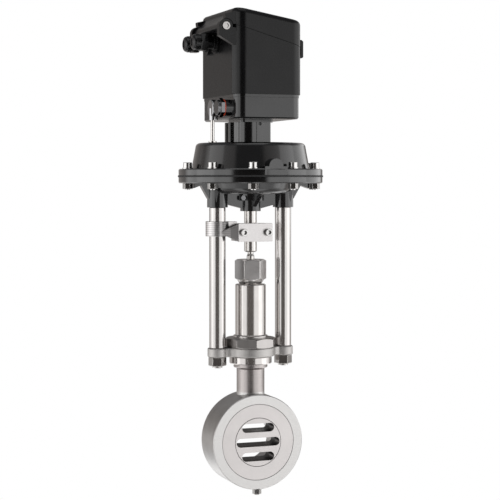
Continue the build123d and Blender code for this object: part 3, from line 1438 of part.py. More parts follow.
# Air fittings on the base and the pipe down to the upper case
with BuildPart() as elbow_fitting:
    with BuildSketch(Plane.YZ.offset(fitting_end_x)):
        with Locations((elbow_y, fitting_z)):
            Circle(fitting_d / 2)
    extrude(amount=fitting_head_l)
    fillet(elbow_fitting.edges().group_by(Axis.X)[0], fitting_round)
    with BuildSketch(Plane.YZ.offset(fitting_end_x + fitting_head_l)):
        with Locations((elbow_y, fitting_z)):
            Circle(fitting_neck_d / 2)
    extrude(amount=base_wall_x - fitting_end_x - fitting_head_l)
    with BuildSketch(Plane.YZ.offset(base_wall_x)):
        with Locations((elbow_y, fitting_z)):
            Circle(port_thread_d / 2)
    extrude(amount=port_thread_l)
    with BuildSketch(Plane.XY.offset(pipe_socket_z)):
        with Locations((pipe_x + pipe_socket_shift, elbow_y)):
            Circle(pipe_socket_d / 2)
    extrude(amount=fitting_z - pipe_socket_z)
    with BuildSketch(Plane.XY.offset(pipe_socket_z)):
        with Locations((pipe_x, elbow_y)):
            Circle(pipe_d / 2 + seat_fit)
    extrude(amount=pipe_socket_l, mode=Mode.SUBTRACT)
save(elbow_fitting.part, "elbow_fitting")

with BuildPart() as air_pipe:
    with BuildSketch(Plane.XY.offset(dome_top_z - dome_wall)):
        with Locations((pipe_x, elbow_y)):
            Circle(pipe_d / 2)
            Circle(pipe_d / 2 - pipe_wall, mode=Mode.SUBTRACT)
    extrude(amount=pipe_socket_z + pipe_socket_l - dome_top_z + dome_wall)
    with BuildSketch(Plane.XY.offset(dome_top_z)):
        with Locations((pipe_x, elbow_y)):
            Circle(pipe_d)
            Circle(pipe_d / 2 - pipe_wall, mode=Mode.SUBTRACT)
    extrude(amount=ferrule_t)
save(air_pipe.part, "air_pipe")

with BuildPart() as air_plug:
    with BuildSketch(Plane.YZ.offset(fitting_end_x)):
        with Locations((plug_y, fitting_z)):
            Circle(plug_face_d / 2)
    extrude(amount=plug_face_l)
    chamfer(air_plug.edges().group_by(Axis.X)[0], edge_break)
    with BuildSketch(Plane.YZ.offset(plug_hex_x)):
        with Locations((plug_y, fitting_z)):
            hexagon(plug_hex_af, plug_turn)
    extrude(amount=plug_hex_l)
    with BuildSketch(Plane.YZ.offset(plug_ring_x)):
        with Locations((plug_y, fitting_z)):
            Circle(port_thread_d / 2)
    extrude(amount=base_wall_x + port_thread_l - plug_ring_x)
save(air_plug.part, "air_plug")

with BuildPart() as plug_ring:
    with BuildSketch(Plane.YZ.offset(plug_ring_x)):
        with Locations((plug_y, fitting_z)):
            Circle(ring_d / 2)
            Circle(port_thread_d / 2 + seat_fit, mode=Mode.SUBTRACT)
    extrude(amount=ring_w)
save(plug_ring.part, "plug_ring")
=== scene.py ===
import json
from math import acos, cos, pi, radians, sin

import bmesh
import bpy
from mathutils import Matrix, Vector


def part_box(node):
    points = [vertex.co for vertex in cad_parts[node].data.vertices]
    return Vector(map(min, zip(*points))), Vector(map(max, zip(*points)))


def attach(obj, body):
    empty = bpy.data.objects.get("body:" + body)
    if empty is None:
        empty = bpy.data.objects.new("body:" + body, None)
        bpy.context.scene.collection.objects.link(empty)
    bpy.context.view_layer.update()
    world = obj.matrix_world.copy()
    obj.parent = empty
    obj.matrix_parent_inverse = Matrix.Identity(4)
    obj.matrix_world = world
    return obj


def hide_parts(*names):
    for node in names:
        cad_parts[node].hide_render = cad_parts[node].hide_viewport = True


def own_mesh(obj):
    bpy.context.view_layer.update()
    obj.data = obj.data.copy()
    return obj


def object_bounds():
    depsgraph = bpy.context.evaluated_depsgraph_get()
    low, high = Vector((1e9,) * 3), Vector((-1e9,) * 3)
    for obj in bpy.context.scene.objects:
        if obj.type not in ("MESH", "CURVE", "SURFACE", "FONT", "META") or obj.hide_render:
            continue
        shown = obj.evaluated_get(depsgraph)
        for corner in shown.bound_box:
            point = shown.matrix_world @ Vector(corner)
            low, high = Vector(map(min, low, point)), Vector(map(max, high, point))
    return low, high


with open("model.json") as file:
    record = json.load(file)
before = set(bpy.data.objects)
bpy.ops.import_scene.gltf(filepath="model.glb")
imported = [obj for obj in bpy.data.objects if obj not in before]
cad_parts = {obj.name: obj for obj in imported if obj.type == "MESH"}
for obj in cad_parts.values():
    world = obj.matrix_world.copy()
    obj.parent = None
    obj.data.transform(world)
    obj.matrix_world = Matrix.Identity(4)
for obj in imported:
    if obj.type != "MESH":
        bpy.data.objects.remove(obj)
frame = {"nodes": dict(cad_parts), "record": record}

cad_low, cad_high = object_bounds()

# Camera, fitted to the photograph: metres, and millimetres for the lens and the sensor
camera_azimuth = radians(-20.4)
camera_distance = 1.737
camera_height = 0.298
camera_lens = 107.3
camera_sensor = 36.0
camera_shift_x = -0.001
camera_shift_y = -0.134
camera_near = 0.01
camera_far = 100.0

# Studio, in metres
background = (1.0, 1.0, 1.0, 1.0)
floor_drop = 0.42
floor_reach = 1.5
floor_dark = (0.83, 0.83, 0.83)
floor_pale = (0.85, 0.85, 0.85)
floor_glow = 0.45
lamp_aim_height = 0.22
# Each softbox: degrees to the camera's right, distance, height, width, length and watts
softboxes = [
    ("left_box", -75.0, 1.6, 0.5, 1.0, 1.8, 3.0),
    ("right_box", 80.0, 1.6, 0.5, 1.0, 1.8, 3.0),
    ("top_box", 0.0, 0.5, 1.9, 1.4, 1.4, 4.0)]

# The room that reflections see: degrees to the camera's right, and the tone there
middle_tones = [
    (-180.0, 0.26), (-128.0, 0.33), (-116.0, 1.35), (-32.0, 1.62), (-26.0, 0.02), (24.0, 0.02),
    (30.0, 1.62), (142.0, 1.35), (158.0, 0.15), (180.0, 0.20)]
high_tones = [
    (-180.0, 0.34), (-108.0, 0.24), (-98.0, 0.80), (-34.0, 0.55), (-28.0, 0.02), (24.0, 0.02),
    (32.0, 0.45), (95.0, 1.10), (150.0, 1.30), (170.0, 0.30), (180.0, 0.20)]
floor_tones = [
    (-180.0, 0.5), (-171.0, 0.5), (-160.0, 1.5), (-142.0, 1.5), (-122.0, 0.1), (-66.0, 0.15),
    (-50.0, 1.0), (-29.0, 1.0), (-24.0, 0.05), (22.0, 0.05), (27.0, 1.0), (54.0, 1.0),
    (66.0, 0.15), (122.0, 0.1), (142.0, 1.5), (160.0, 1.5), (171.0, 0.5), (180.0, 0.5)]
# Below the horizon the gap on the camera's side is paler than deeper down
low_gap_tone = 0.28
deep_gap_tone = 0.04
# How far a reflection rises where one part of the room gives way to the next
deep_to_low = (-0.12, -0.10)
low_to_middle = (-0.07, 0.0)
middle_to_high = (0.13, 0.20)
high_to_ceiling = (0.25, 0.50)
ceiling_tone = (0.21, 0.21, 0.215)
# Distances from the valve between which the floor's tones give way to an even one
floor_fade = (0.9, 1.2)
floor_far_tone = (0.5, 0.5, 0.5)

# Colours that finishes share, and what rubbed edges come to, their tone partly a painted highlight
warm = (1.0, 0.90, 0.84)
black = (0.003, 0.003, 0.0034)
neck_tone = (0.425, 0.395, 0.385)
worn_glint_tone = (0.78, 0.76, 0.74)
worn_rough = 0.12
polished_rough = 0.15

# The two directions square to an axis that a surface is turned about
about_x = (0.0, 1.0, 1.0)
about_y = (1.0, 0.0, 1.0)
about_z = (1.0, 1.0, 0.0)

# Where a finish, or a painted shade, changes on its piece: in metres from the box that
# make_materials names
clamp_reach = 0.0012
rim_rise = 0.012
satin_rise = 0.0125
polish_rise = 0.0053
upper_cone = (0.05, 0.0715)
lower_cone = (0.036, 0.0485)
cone_blend = 0.0002
lathe_pitch = 0.0023

# Grip ridges round the gland caps
flute_count = 20
flute_height = 0.0005
flute_width = 0.0011
flute_inset = 0.0005
flute_sink = 0.0002
flute_top_share = 0.28
cap_round = 0.0035

# Screws in the terminal block and on the board's posts
terminal_ways = 8
terminal_screw_r = 0.0024
terminal_screw_h = 0.0026
terminal_sink = 0.005
terminal_turn = 0.5
terminal_turn_step = 0.7
screw_slot = 0.0007
slot_chamfer = 0.0002
slot_steps = 8
post_inset = 0.006
post_head_r = 0.0028
post_head_h = 0.0022
post_head_chamfer = 0.0003
post_head_steps = 18
socket_top_r = 0.0013
socket_foot_r = 0.0012
socket_foot_share = 0.35

# What stands on the circuit board: centre in plan, then size, or a turned profile
chips = [
    ((0.012, 0.010), (0.014, 0.014, 0.0022)), ((0.010, -0.016), (0.010, 0.0064, 0.0020)),
    ((0.019, 0.032), (0.0064, 0.010, 0.0020)), ((0.003, 0.033), (0.0064, 0.008, 0.0018))]
chip_lift = 0.0003
chip_taper = 0.0003
tall_header = ((0.023, -0.006), (0.0055, 0.020, 0.0075))
wide_header = ((-0.001, -0.040), (0.020, 0.0055, 0.0060))
header_taper = 0.0002
# Nine small parts each: the first one's place, the steps to the next, and their size
part_grids = [
    ((0.0015, 0.0220), (0.0028, 0.0012), (0.0017, 0.0008, 0.0006)),
    ((0.0145, -0.026), (0.0026, -0.0036), (0.0016, 0.0024, 0.0011))]
# A chip's lead: how far out and how high each of its blocks stands, and the block's size
lead_blocks = [
    (0.0003, 0.0008, (0.0008, 0.0005, 0.0003)), (0.0007, 0.0, (0.0003, 0.0005, 0.0010)),
    (0.0011, 0.0, (0.0007, 0.0005, 0.0003))]
pin_pitch = 0.00127
pin_count = 7
pin_width = 0.0006
pin_taper = 0.0001
tall_pin = 0.0100
short_pin = 0.0085
can_places = [(0.0215, -0.024), (0.0215, -0.034)]
can_profile = [
    (0.0039, 0.0), (0.0041, 0.0004), (0.0041, 0.0014), (0.0037, 0.0018), (0.0041, 0.0022),
    (0.0041, 0.0092), (0.0036, 0.0097), (0.0033, 0.0095)]
crystal = ((0.002, 0.004), (0.0034, 0.0090, 0.0032))
crystal_taper = 0.0005

# Ribs under the lid, and ridges on its clip
lid_wall = 0.0035
lid_rib_w = 0.002
lid_rib_h = 0.006
lid_rib_sink = 0.0006
lid_rib_gap = 0.0015
lid_rib_ys = (-0.042, -0.014, 0.014, 0.042)
lid_rib_half_length = 0.056
clip_ridges = 4
clip_ridge_first = 0.0018
clip_ridge_step = 0.0016
clip_ridge_h = 0.0007
clip_ridge_plan = [(-0.0004, -0.006), (0.0004, -0.0055), (0.0004, 0.0055), (-0.0004, 0.006)]

# Ribs on the column bosses; at each end: height, half width, and reach beyond the boss
boss_r = 0.012
boss_drop = 0.0045
boss_rib_turn = radians(25)
boss_rib_sink = 0.001
boss_rib_taper = 0.45
boss_rib_ends = [(0.0062, 0.0005, 0.0001), (0.0205, 0.0034, 0.0045)]

# The return spring's wire, its turns, and the steps round each turn and round the wire
coil_wire = 0.0034
coil_turns = 2.5
coil_steps = 48
wire_steps = 14


def toward(azimuth, distance, height):
    """A point that lies at this azimuth from the valve's axis, in the camera's own convention."""
    return Vector((distance * sin(azimuth), -distance * cos(azimuth), height))


def node(tree, kind, values=None, **settings):
    """A shader node with its settings, and its sockets set to a value or linked to another's."""
    made = tree.nodes.new("ShaderNode" + kind)
    for key, value in settings.items():
        setattr(made, key, value)
    for key, value in (values or {}).items():
        socket = made.inputs[key]
        if isinstance(value, bpy.types.NodeSocket):
            tree.links.new(value, socket)
        else:
            socket.default_value = value
    return made


def number_math(tree, operation, first, second=None):
    values = {0: first} if second is None else {0: first, 1: second}
    return node(tree, "Math", values, operation=operation).outputs[0]


def vector_math(tree, operation, first, second=None, output="Vector"):
    """A sum on vectors; output is "Value" where it gives a number."""
    values = {0: first} if second is None else {0: first, 1: second}
    return node(tree, "VectorMath", values, operation=operation).outputs[output]


def times(tree, first, second):
    return number_math(tree, "MULTIPLY", first, second)


def plus(tree, first, second):
    return number_math(tree, "ADD", first, second)


def component(tree, vector, axis):
    return node(tree, "SeparateXYZ", {0: vector}).outputs[axis]


def object_space(tree, scale=(1.0, 1.0, 1.0)):
    """Object coordinates in metres, stretched."""
    coords = node(tree, "TexCoord").outputs["Object"]
    return node(tree, "Mapping", {"Vector": coords, "Scale": scale}).outputs["Vector"]


def own_normal(tree):
    """The surface's normal in the piece's own directions."""
    return node(tree, "TexCoord").outputs["Normal"]


def ring_space(tree, about):
    """The distance from the axis that the surface is turned about."""
    flat = vector_math(tree, "MULTIPLY", object_space(tree), about)
    return vector_math(tree, "LENGTH", flat, output="Value")


def noise(tree, vector, scale, detail=2.0, roughness=0.5):
    values = {"Vector": vector, "Scale": scale, "Detail": detail, "Roughness": roughness}
    return node(tree, "TexNoise", values).outputs["Fac"]


def line_noise(tree, distance, scale, detail=3.0):
    """Noise along one distance only, for turned rings."""
    values = {"W": distance, "Scale": scale, "Detail": detail}
    return node(tree, "TexNoise", values, noise_dimensions="1D").outputs["Fac"]


def spread(tree, value, low, high, start=0.3, end=0.7):
    """What runs from start to end, by default most of a noise's range, runs from low to high."""
    values = {"Value": value, "From Min": start, "From Max": end, "To Min": low, "To Max": high}
    return node(tree, "MapRange", values).outputs["Result"]


def under(tree, value, limit, blend=0.0004):
    """1 below the limit and 0 above it."""
    return spread(tree, value, 1.0, 0.0, start=limit - blend, end=limit + blend)


def over(tree, value, limit, blend=0.0004):
    """0 below the limit and 1 above it."""
    return spread(tree, value, 0.0, 1.0, start=limit - blend, end=limit + blend)


def tint(tree, share, first, second):
    """The colour between two, each a socket or a plain colour, by a share from 0 to 1."""
    first, second = (end if isinstance(end, bpy.types.NodeSocket) else (*end, 1.0)
                     for end in (first, second))
    return node(tree, "Mix", {0: share, 6: first, 7: second}, data_type="RGBA").outputs[2]


def between(tree, share, first, second):
    """The number between two, by a share from 0 to 1."""
    return node(tree, "Mix", {0: share, 2: first, 3: second}, data_type="FLOAT").outputs[0]


def shade(base, amount):
    return tuple(min(1.0, channel * amount) for channel in base)


def mottled(tree, base, cloud, dark, light):
    """The base colour, shaded from dark to light by broad patches."""
    return tint(tree, spread(tree, cloud, 0.0, 1.0), shade(base, dark), shade(base, light))


def uneven(tree, rough, fine, fine_range, cloud, cloud_range):
    """The roughness, varied by fine marks and by broad patches."""
    low, high = fine_range
    return plus(tree, spread(tree, fine, rough + low, rough + high),
                spread(tree, cloud, *cloud_range))


def bump(tree, height, depth, strength=1.0, below=None):
    values = {"Height": height, "Distance": depth, "Strength": strength}
    if below is not None:
        values["Normal"] = below
    return node(tree, "Bump", values).outputs["Normal"]


def soft_edges(tree, radius):
    """Normals that roll over the solids' edges."""
    return node(tree, "Bevel", {"Radius": radius}, samples=4).outputs["Normal"]


def rounded(tree, normal, low_r, high_r):
    """Between two distances from the stem's axis, where the solids are turned about it, the
    normals point straight out from it, so that a coarse cone reflects as a smooth one."""
    place = vector_math(tree, "MULTIPLY", object_space(tree), about_z)
    out = vector_math(tree, "NORMALIZE", place)
    flat = vector_math(tree, "MULTIPLY", normal, about_z)
    size = vector_math(tree, "LENGTH", flat, output="Value")
    way = vector_math(tree, "NORMALIZE", flat)
    match = vector_math(tree, "DOT_PRODUCT", way, out, output="Value")
    radius = vector_math(tree, "LENGTH", place, output="Value")
    near = spread(tree, radius, 1.0, 0.0, start=high_r - cone_blend, end=high_r)
    far = spread(tree, radius, 0.0, 1.0, start=low_r, end=low_r + cone_blend)
    outward = spread(tree, match, 0.0, 1.0, start=0.986, end=0.989)
    share = times(tree, times(tree, near, far), outward)
    level = node(tree, "VectorMath", {0: out, "Scale": size}, operation="SCALE").outputs[0]
    rise = vector_math(tree, "MULTIPLY", normal, (0.0, 0.0, 1.0))
    turned = vector_math(tree, "ADD", level, rise)
    return node(tree, "Mix", {0: share, 4: normal, 5: turned}, data_type="VECTOR").outputs[1]


def facing_axis(tree, axis):
    """1 where the surface looks along the axis, 0 on the walls beside it."""
    dot = vector_math(tree, "DOT_PRODUCT", own_normal(tree), axis, output="Value")
    return spread(tree, number_math(tree, "ABSOLUTE", dot), 0.0, 1.0, start=0.6, end=0.8)


def edge_wear_and_glint(tree, soft):
    """1 along rounded edges, where the softened normal leaves the face's own."""
    own = node(tree, "NewGeometry").outputs["Normal"]
    match = vector_math(tree, "DOT_PRODUCT", soft, own, output="Value")
    return spread(tree, match, 1.0, 0.0, start=0.955, end=0.992)


def worn_and_glinting(tree, soft, colour, roughness, amount):
    """Colour and roughness with edges rubbed smooth, their colour partly a painted highlight."""
    wear_and_glint = times(tree, edge_wear_and_glint(tree, soft), amount)
    return tint(tree, wear_and_glint, colour, worn_glint_tone), between(tree, wear_and_glint, roughness, worn_rough)


def start_material(name, metallic=0.0):
    made = bpy.data.materials.new(name)
    made.use_nodes = True
    shader = made.node_tree.nodes["Principled BSDF"]
    shader.inputs["Metallic"].default_value = metallic
    return made, made.node_tree, shader


def finish_material(tree, shader, colour, roughness, normal):
    tree.links.new(colour, shader.inputs["Base Color"])
    tree.links.new(roughness, shader.inputs["Roughness"])
    tree.links.new(normal, shader.inputs["Normal"])


def turned_metal(name, base, rough, about, edge=0.0002, wear_and_glint=0.3, side=None, satin_z=None):
    """Metal turned about an axis: fine rings, slow changes of tone, a little smearing, and rubbed
    edges whose colour is partly a painted highlight. Where side is given, walls beside the axis
    are painted darker by that much, as shade. Where satin_z is given, the metal below that height
    is duller."""
    made, tree, shader = start_material(name, 1.0)
    axis = tuple(1.0 - square for square in about)
    rings = line_noise(tree, ring_space(tree, about), scale=2600.0)
    streak_space = object_space(tree, tuple(3200.0 * along + 6.0 for along in axis))
    lines = noise(tree, streak_space, scale=1.0, detail=3.0)
    cloud = noise(tree, object_space(tree), scale=38.0, detail=4.0)
    marks = times(tree, plus(tree, rings, lines), 0.5)
    colour = mottled(tree, base, cloud, dark=0.93, light=1.04)
    roughness = uneven(tree, rough, marks, (-0.04, 0.05), cloud, (-0.02, 0.02))
    if side is not None:
        # painted shade on the walls beside the axis
        colour = tint(tree, facing_axis(tree, axis), shade(base, side), colour)
    if satin_z is not None:
        dull = under(tree, component(tree, object_space(tree), "Z"), satin_z)
        colour = tint(tree, dull, colour, shade(base, 0.74))
        roughness = plus(tree, roughness, times(tree, dull, 0.17))
    soft = soft_edges(tree, edge)
    # rubbed edges, their brighter colour partly a painted highlight
    colour, roughness = worn_and_glinting(tree, soft, colour, roughness, wear_and_glint)
    normal = bump(tree, marks, depth=0.000004, strength=0.6, below=soft)
    finish_material(tree, shader, colour, roughness, normal)
    return made


def drawn_metal(name, base, rough):
    """Polished bar: faint lines along Z, long soft waves that bend its reflections."""
    made, tree, shader = start_material(name, 1.0)
    lines = noise(tree, object_space(tree, (2400.0, 2400.0, 14.0)), scale=1.0, detail=3.0)
    waves = noise(tree, object_space(tree, (30.0, 30.0, 11.0)), scale=1.0, detail=1.0)
    cloud = noise(tree, object_space(tree), scale=22.0, detail=4.0)
    colour = mottled(tree, base, cloud, dark=0.95, light=1.03)
    roughness = uneven(tree, rough, lines, (-0.03, 0.04), cloud, (-0.02, 0.03))
    wavy = bump(tree, waves, depth=0.0005, strength=0.35, below=soft_edges(tree, 0.0003))
    normal = bump(tree, lines, depth=0.000003, strength=0.5, below=wavy)
    finish_material(tree, shader, colour, roughness, normal)
    return made


def body_metal(name, base, rough, rim_z):
    """The wafer body: turned on its faces, blasted on its rim, satin and darker up its neck."""
    made, tree, shader = start_material(name, 1.0)
    face = facing_axis(tree, (0.0, 1.0, 0.0))
    neck = over(tree, component(tree, object_space(tree), "Z"), rim_z, blend=0.001)
    rings = line_noise(tree, ring_space(tree, about_y), scale=2200.0)
    grain = noise(tree, object_space(tree), scale=1400.0, detail=3.0)
    cloud = noise(tree, object_space(tree), scale=60.0, detail=5.0, roughness=0.6)
    stripes = noise(tree, object_space(tree, (18.0, 1500.0, 18.0)), scale=1.0, detail=3.0)
    skin = times(tree, plus(tree, grain, stripes), 0.5)
    marks = between(tree, face, skin, rings)
    rim = mottled(tree, base, cloud, dark=0.80, light=1.0)
    front = mottled(tree, base, cloud, dark=1.08, light=1.18)
    satin = mottled(tree, neck_tone, cloud, dark=0.92, light=1.08)
    colour = tint(tree, neck, tint(tree, face, rim, front), satin)
    roughness = uneven(tree, rough, marks, (-0.05, 0.07), cloud, (-0.04, 0.04))
    normal = bump(tree, marks, depth=0.00001, strength=0.6, below=soft_edges(tree, 0.0003))
    finish_material(tree, shader, colour, roughness, normal)
    return made


def clamp_shade_and_lines(tree, base, colour, clamp_x):
    """The bracket's colour: beside clamp_x, its sides that face each other are painted dark as
    shade, and the clamp's ring keeps the lathe's lines."""
    side = component(tree, own_normal(tree), "X")
    place = component(tree, object_space(tree), "X")
    plate, ring = over(tree, place, clamp_x), under(tree, place, clamp_x)
    left = times(tree, plate, spread(tree, side, 1.0, 0.0, start=-0.25, end=-0.08))
    right = times(tree, ring, spread(tree, side, 0.0, 1.0, start=-0.1, end=0.15))
    # painted shade: the plate's sides that look to -X and the ring's sides that look to +X
    shaded = tint(tree, plus(tree, left, right), colour, shade(base, 0.2))
    height = component(tree, object_space(tree), "Z")
    wave = number_math(tree, "SINE", times(tree, height, 2 * pi / lathe_pitch))
    lines = times(tree, ring, spread(tree, wave, 0.0, 0.45, start=-0.2, end=0.8))
    return tint(tree, lines, shaded, shade(base, 0.45))


def nut_polish_and_shade(tree, base, colour, roughness, polish_z):
    """The gland nut's colour and roughness: polished below polish_z, and above it painted shade
    on the faces that look to -X."""
    side = component(tree, own_normal(tree), "X")
    polished = under(tree, component(tree, object_space(tree), "Z"), polish_z, blend=0.0003)
    shaded_side = spread(tree, side, 1.0, 0.0, start=-0.85, end=-0.6)
    # painted shade on the faces that look to -X
    colour = tint(tree, polished, tint(tree, shaded_side, colour, shade(base, 0.33)), worn_glint_tone)
    return colour, between(tree, polished, roughness, polished_rough)


def cast_metal(name, base, rough, edge=0.0004, wear_and_glint=0.3, clamp_x=None, polish_z=None):
    """A satin casting or blasted plate: fine grain, broad patches, rubbed edges whose colour is
    partly a painted highlight. Where clamp_x or polish_z is given, it has the bracket's or the
    gland nut's painted shade and marks as well."""
    made, tree, shader = start_material(name, 1.0)
    grain = noise(tree, object_space(tree), scale=1800.0, detail=3.0)
    pits = noise(tree, object_space(tree), scale=420.0, detail=2.0)
    cloud = noise(tree, object_space(tree), scale=34.0, detail=4.0, roughness=0.6)
    colour = mottled(tree, base, cloud, dark=0.9, light=1.08)
    roughness = uneven(tree, rough, grain, (-0.05, 0.06), cloud, (-0.04, 0.05))
    if clamp_x is not None:
        colour = clamp_shade_and_lines(tree, base, colour, clamp_x)
    if polish_z is not None:
        colour, roughness = nut_polish_and_shade(tree, base, colour, roughness, polish_z)
    soft = soft_edges(tree, edge)
    # rubbed edges, their brighter colour partly a painted highlight
    colour, roughness = worn_and_glinting(tree, soft, colour, roughness, wear_and_glint)
    pitted = bump(tree, pits, depth=0.00003, strength=0.4, below=soft)
    normal = bump(tree, grain, depth=0.00001, strength=0.5, below=pitted)
    finish_material(tree, shader, colour, roughness, normal)
    return made


def cast_paint(name, base, rough, coat, turned=None):
    """Semi-gloss powder coat: orange peel over a casting, with a clear upper film. turned is
    the two radii between which the casting is turned about the stem's axis."""
    made, tree, shader = start_material(name)
    shader.inputs["Coat Weight"].default_value = coat
    shader.inputs["Coat Roughness"].default_value = 0.1
    peel = noise(tree, object_space(tree), scale=420.0, detail=2.0)
    fine = noise(tree, object_space(tree), scale=2600.0, detail=2.0)
    cloud = noise(tree, object_space(tree), scale=45.0, detail=4.0)
    colour = mottled(tree, base, cloud, dark=0.8, light=1.25)
    roughness = uneven(tree, rough, fine, (-0.03, 0.05), cloud, (-0.02, 0.04))
    soft = soft_edges(tree, 0.0006)
    if turned is not None:
        soft = rounded(tree, soft, *turned)
    peeled = bump(tree, peel, depth=0.00004, strength=0.5, below=soft)
    normal = bump(tree, fine, depth=0.000008, strength=0.4, below=peeled)
    finish_material(tree, shader, colour, roughness, normal)
    return made


def moulded(name, base, rough, grain=1700.0, gloss=0.5):
    """Moulded plastic or rubber: spark-eroded grain, a little uneven in tone and gloss."""
    made, tree, shader = start_material(name)
    shader.inputs["Specular IOR Level"].default_value = gloss
    texture = noise(tree, object_space(tree), scale=grain, detail=3.0, roughness=0.6)
    cloud = noise(tree, object_space(tree), scale=30.0, detail=4.0)
    colour = mottled(tree, base, cloud, dark=0.88, light=1.12)
    roughness = uneven(tree, rough, texture, (-0.05, 0.06), cloud, (-0.03, 0.03))
    normal = bump(tree, texture, depth=0.00003, strength=0.5, below=soft_edges(tree, 0.0004))
    finish_material(tree, shader, colour, roughness, normal)
    return made


def make_materials():
    """Every finish by its name: base colour, roughness and what sets it apart."""
    clamp_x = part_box("left_column")[1].x + clamp_reach
    rim_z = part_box("insert_ring")[1].z + rim_rise
    satin_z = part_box("bonnet")[0].z + satin_rise
    polish_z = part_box("bonnet")[1].z + polish_rise
    return {
        "body_steel": body_metal("body_steel", (0.58, 0.57, 0.56), 0.32, rim_z),
        "insert_steel": turned_metal("insert_steel", (0.66, 0.63, 0.62), 0.34, about_y, side=0.25),
        "disc_graphite": moulded("disc_graphite", (0.02, 0.02, 0.021), 0.4),
        "machined_steel": turned_metal("machined_steel", (0.58, 0.555, 0.54), 0.15, about_z,
                                       edge=0.0006, wear_and_glint=0.9, satin_z=satin_z),
        "lock_nut": turned_metal("lock_nut", (0.60, 0.575, 0.56), 0.15, about_z),
        "stem_steel": drawn_metal("stem_steel", (0.60, 0.58, 0.56), 0.16),
        "column_steel": drawn_metal("column_steel", (0.58, 0.56, 0.548), 0.17),
        "cast_steel": cast_metal("cast_steel", (0.55, 0.535, 0.52), 0.5),
        "guide_bracket": cast_metal("guide_bracket", (0.66, 0.64, 0.635), 0.31,
                                    edge=0.0008, wear_and_glint=0.6, clamp_x=clamp_x),
        "gland_nut": cast_metal("gland_nut", (0.88, 0.86, 0.855), 0.31,
                                edge=0.0013, wear_and_glint=1.0, polish_z=polish_z),
        "satin_steel": cast_metal("satin_steel", (0.66, 0.64, 0.635), 0.31,
                                  edge=0.0008, wear_and_glint=1.0),
        "fastener_steel": turned_metal("fastener_steel", (0.60, 0.59, 0.58), 0.16, about_z),
        "nut_steel": turned_metal("nut_steel", (0.44, 0.43, 0.42), 0.1, about_z,
                                  edge=0.0007, wear_and_glint=1.0),
        "spring_steel": drawn_metal("spring_steel", (0.45, 0.45, 0.46), 0.3),
        "cast_black": cast_paint("cast_black", black, 0.16, coat=1.0),
        "upper_case": cast_paint("upper_case", black, 0.16, coat=1.0, turned=upper_cone),
        "lower_case": cast_paint("lower_case", black, 0.16, coat=1.0, turned=lower_cone),
        "base_plastic": cast_paint("base_plastic", (0.004, 0.004, 0.0045), 0.2, coat=0.5),
        "housing_plastic": moulded("housing_plastic", (0.005, 0.005, 0.0055), 0.26, gloss=0.3),
        "gland_plastic": moulded("gland_plastic", (0.005, 0.005, 0.0055), 0.2, grain=900.0),
        "fitting_metal": turned_metal("fitting_metal", (0.46, 0.46, 0.47), 0.13, about_y),
        "hinge_screws": turned_metal("hinge_screws", (0.42, 0.41, 0.40), 0.2, about_y),
        "plug_metal": turned_metal("plug_metal", (0.16, 0.16, 0.165), 0.16, about_x),
        "ring_orange": moulded("ring_orange", (0.55, 0.07, 0.03), 0.3),
        "seal_rubber": moulded("seal_rubber", (0.02, 0.02, 0.021), 0.6),
        "packing_white": moulded("packing_white", (0.8, 0.79, 0.76), 0.45),
        "bush_bronze": turned_metal("bush_bronze", (0.6, 0.42, 0.22), 0.3, about_z),
        "board_green": moulded("board_green", (0.02, 0.16, 0.07), 0.3),
        "board_fittings": moulded("board_fittings", (0.3, 0.31, 0.32), 0.45),
    }


def dress_nodes(materials):
    """Each CAD node takes its slot's finish, or one of its own where the slot's is too general."""
    own = {"vent_plug": "plug_metal", "set_screw": "gland_plastic", "lock_nut": "lock_nut",
           "upper_case": "upper_case", "lower_case": "lower_case", "hinge_screws": "hinge_screws",
           "guide_bracket": "guide_bracket", "gland_nut": "gland_nut"}
    for part in frame["record"]["subparts"]:
        piece = frame["nodes"][part["node"]]
        finish = own.get(part["node"], part["material_slot"])
        piece.data.materials.clear()
        piece.data.materials.append(materials[finish])


def join_loops(work, loops):
    """A closed skin over rings of vertices with equally many corners, ends included."""
    work.faces.new(list(reversed(loops[0])))
    work.faces.new(loops[-1])
    corners = len(loops[0])
    for below, above in zip(loops, loops[1:]):
        for i in range(corners):
            j = (i + 1) % corners
            work.faces.new((below[i], below[j], above[j], above[i]))


def prism(work, low, high):
    """A closed solid between two rings of points with equally many corners."""
    join_loops(work, [[work.verts.new(point) for point in ring] for ring in (low, high)])


def block(work, centre, size, taper=0.0):
    """A block that stands on its centre's height, drawn in at the top by the taper."""
    def ring(inset, z):
        x, y = size[0] / 2 - inset, size[1] / 2 - inset
        return [(centre[0] + x * i, centre[1] + y * j, z)
                for i, j in ((-1, -1), (1, -1), (1, 1), (-1, 1))]
    prism(work, ring(0.0, centre[2]), ring(taper, centre[2] + size[2]))


def stack(work, centre, rings, steps=24):
    """A turned solid: pairs of radius and height, from its foot to its last face."""
    angles = [2 * pi * i / steps for i in range(steps)]
    join_loops(work, [
        [work.verts.new((centre[0] + radius * cos(angle), centre[1] + radius * sin(angle),
                         centre[2] + height)) for angle in angles]
        for radius, height in rings])


def slotted_head(work, centre, radius, height, turn):
    """A screw head with a straight slot across its upper half."""
    stack(work, centre, ((radius, 0.0), (radius, height / 2)))
    reach = acos(screw_slot / 2 / radius)
    for side in (0.0, pi):
        angles = [turn + side + reach * (i / slot_steps - 1) for i in range(2 * slot_steps + 1)]
        low, high = ([(centre[0] + r * cos(a), centre[1] + r * sin(a), centre[2] + z)
                      for a in angles]
                     for r, z in ((radius, height / 2), (radius - slot_chamfer, height)))
        prism(work, low, high)


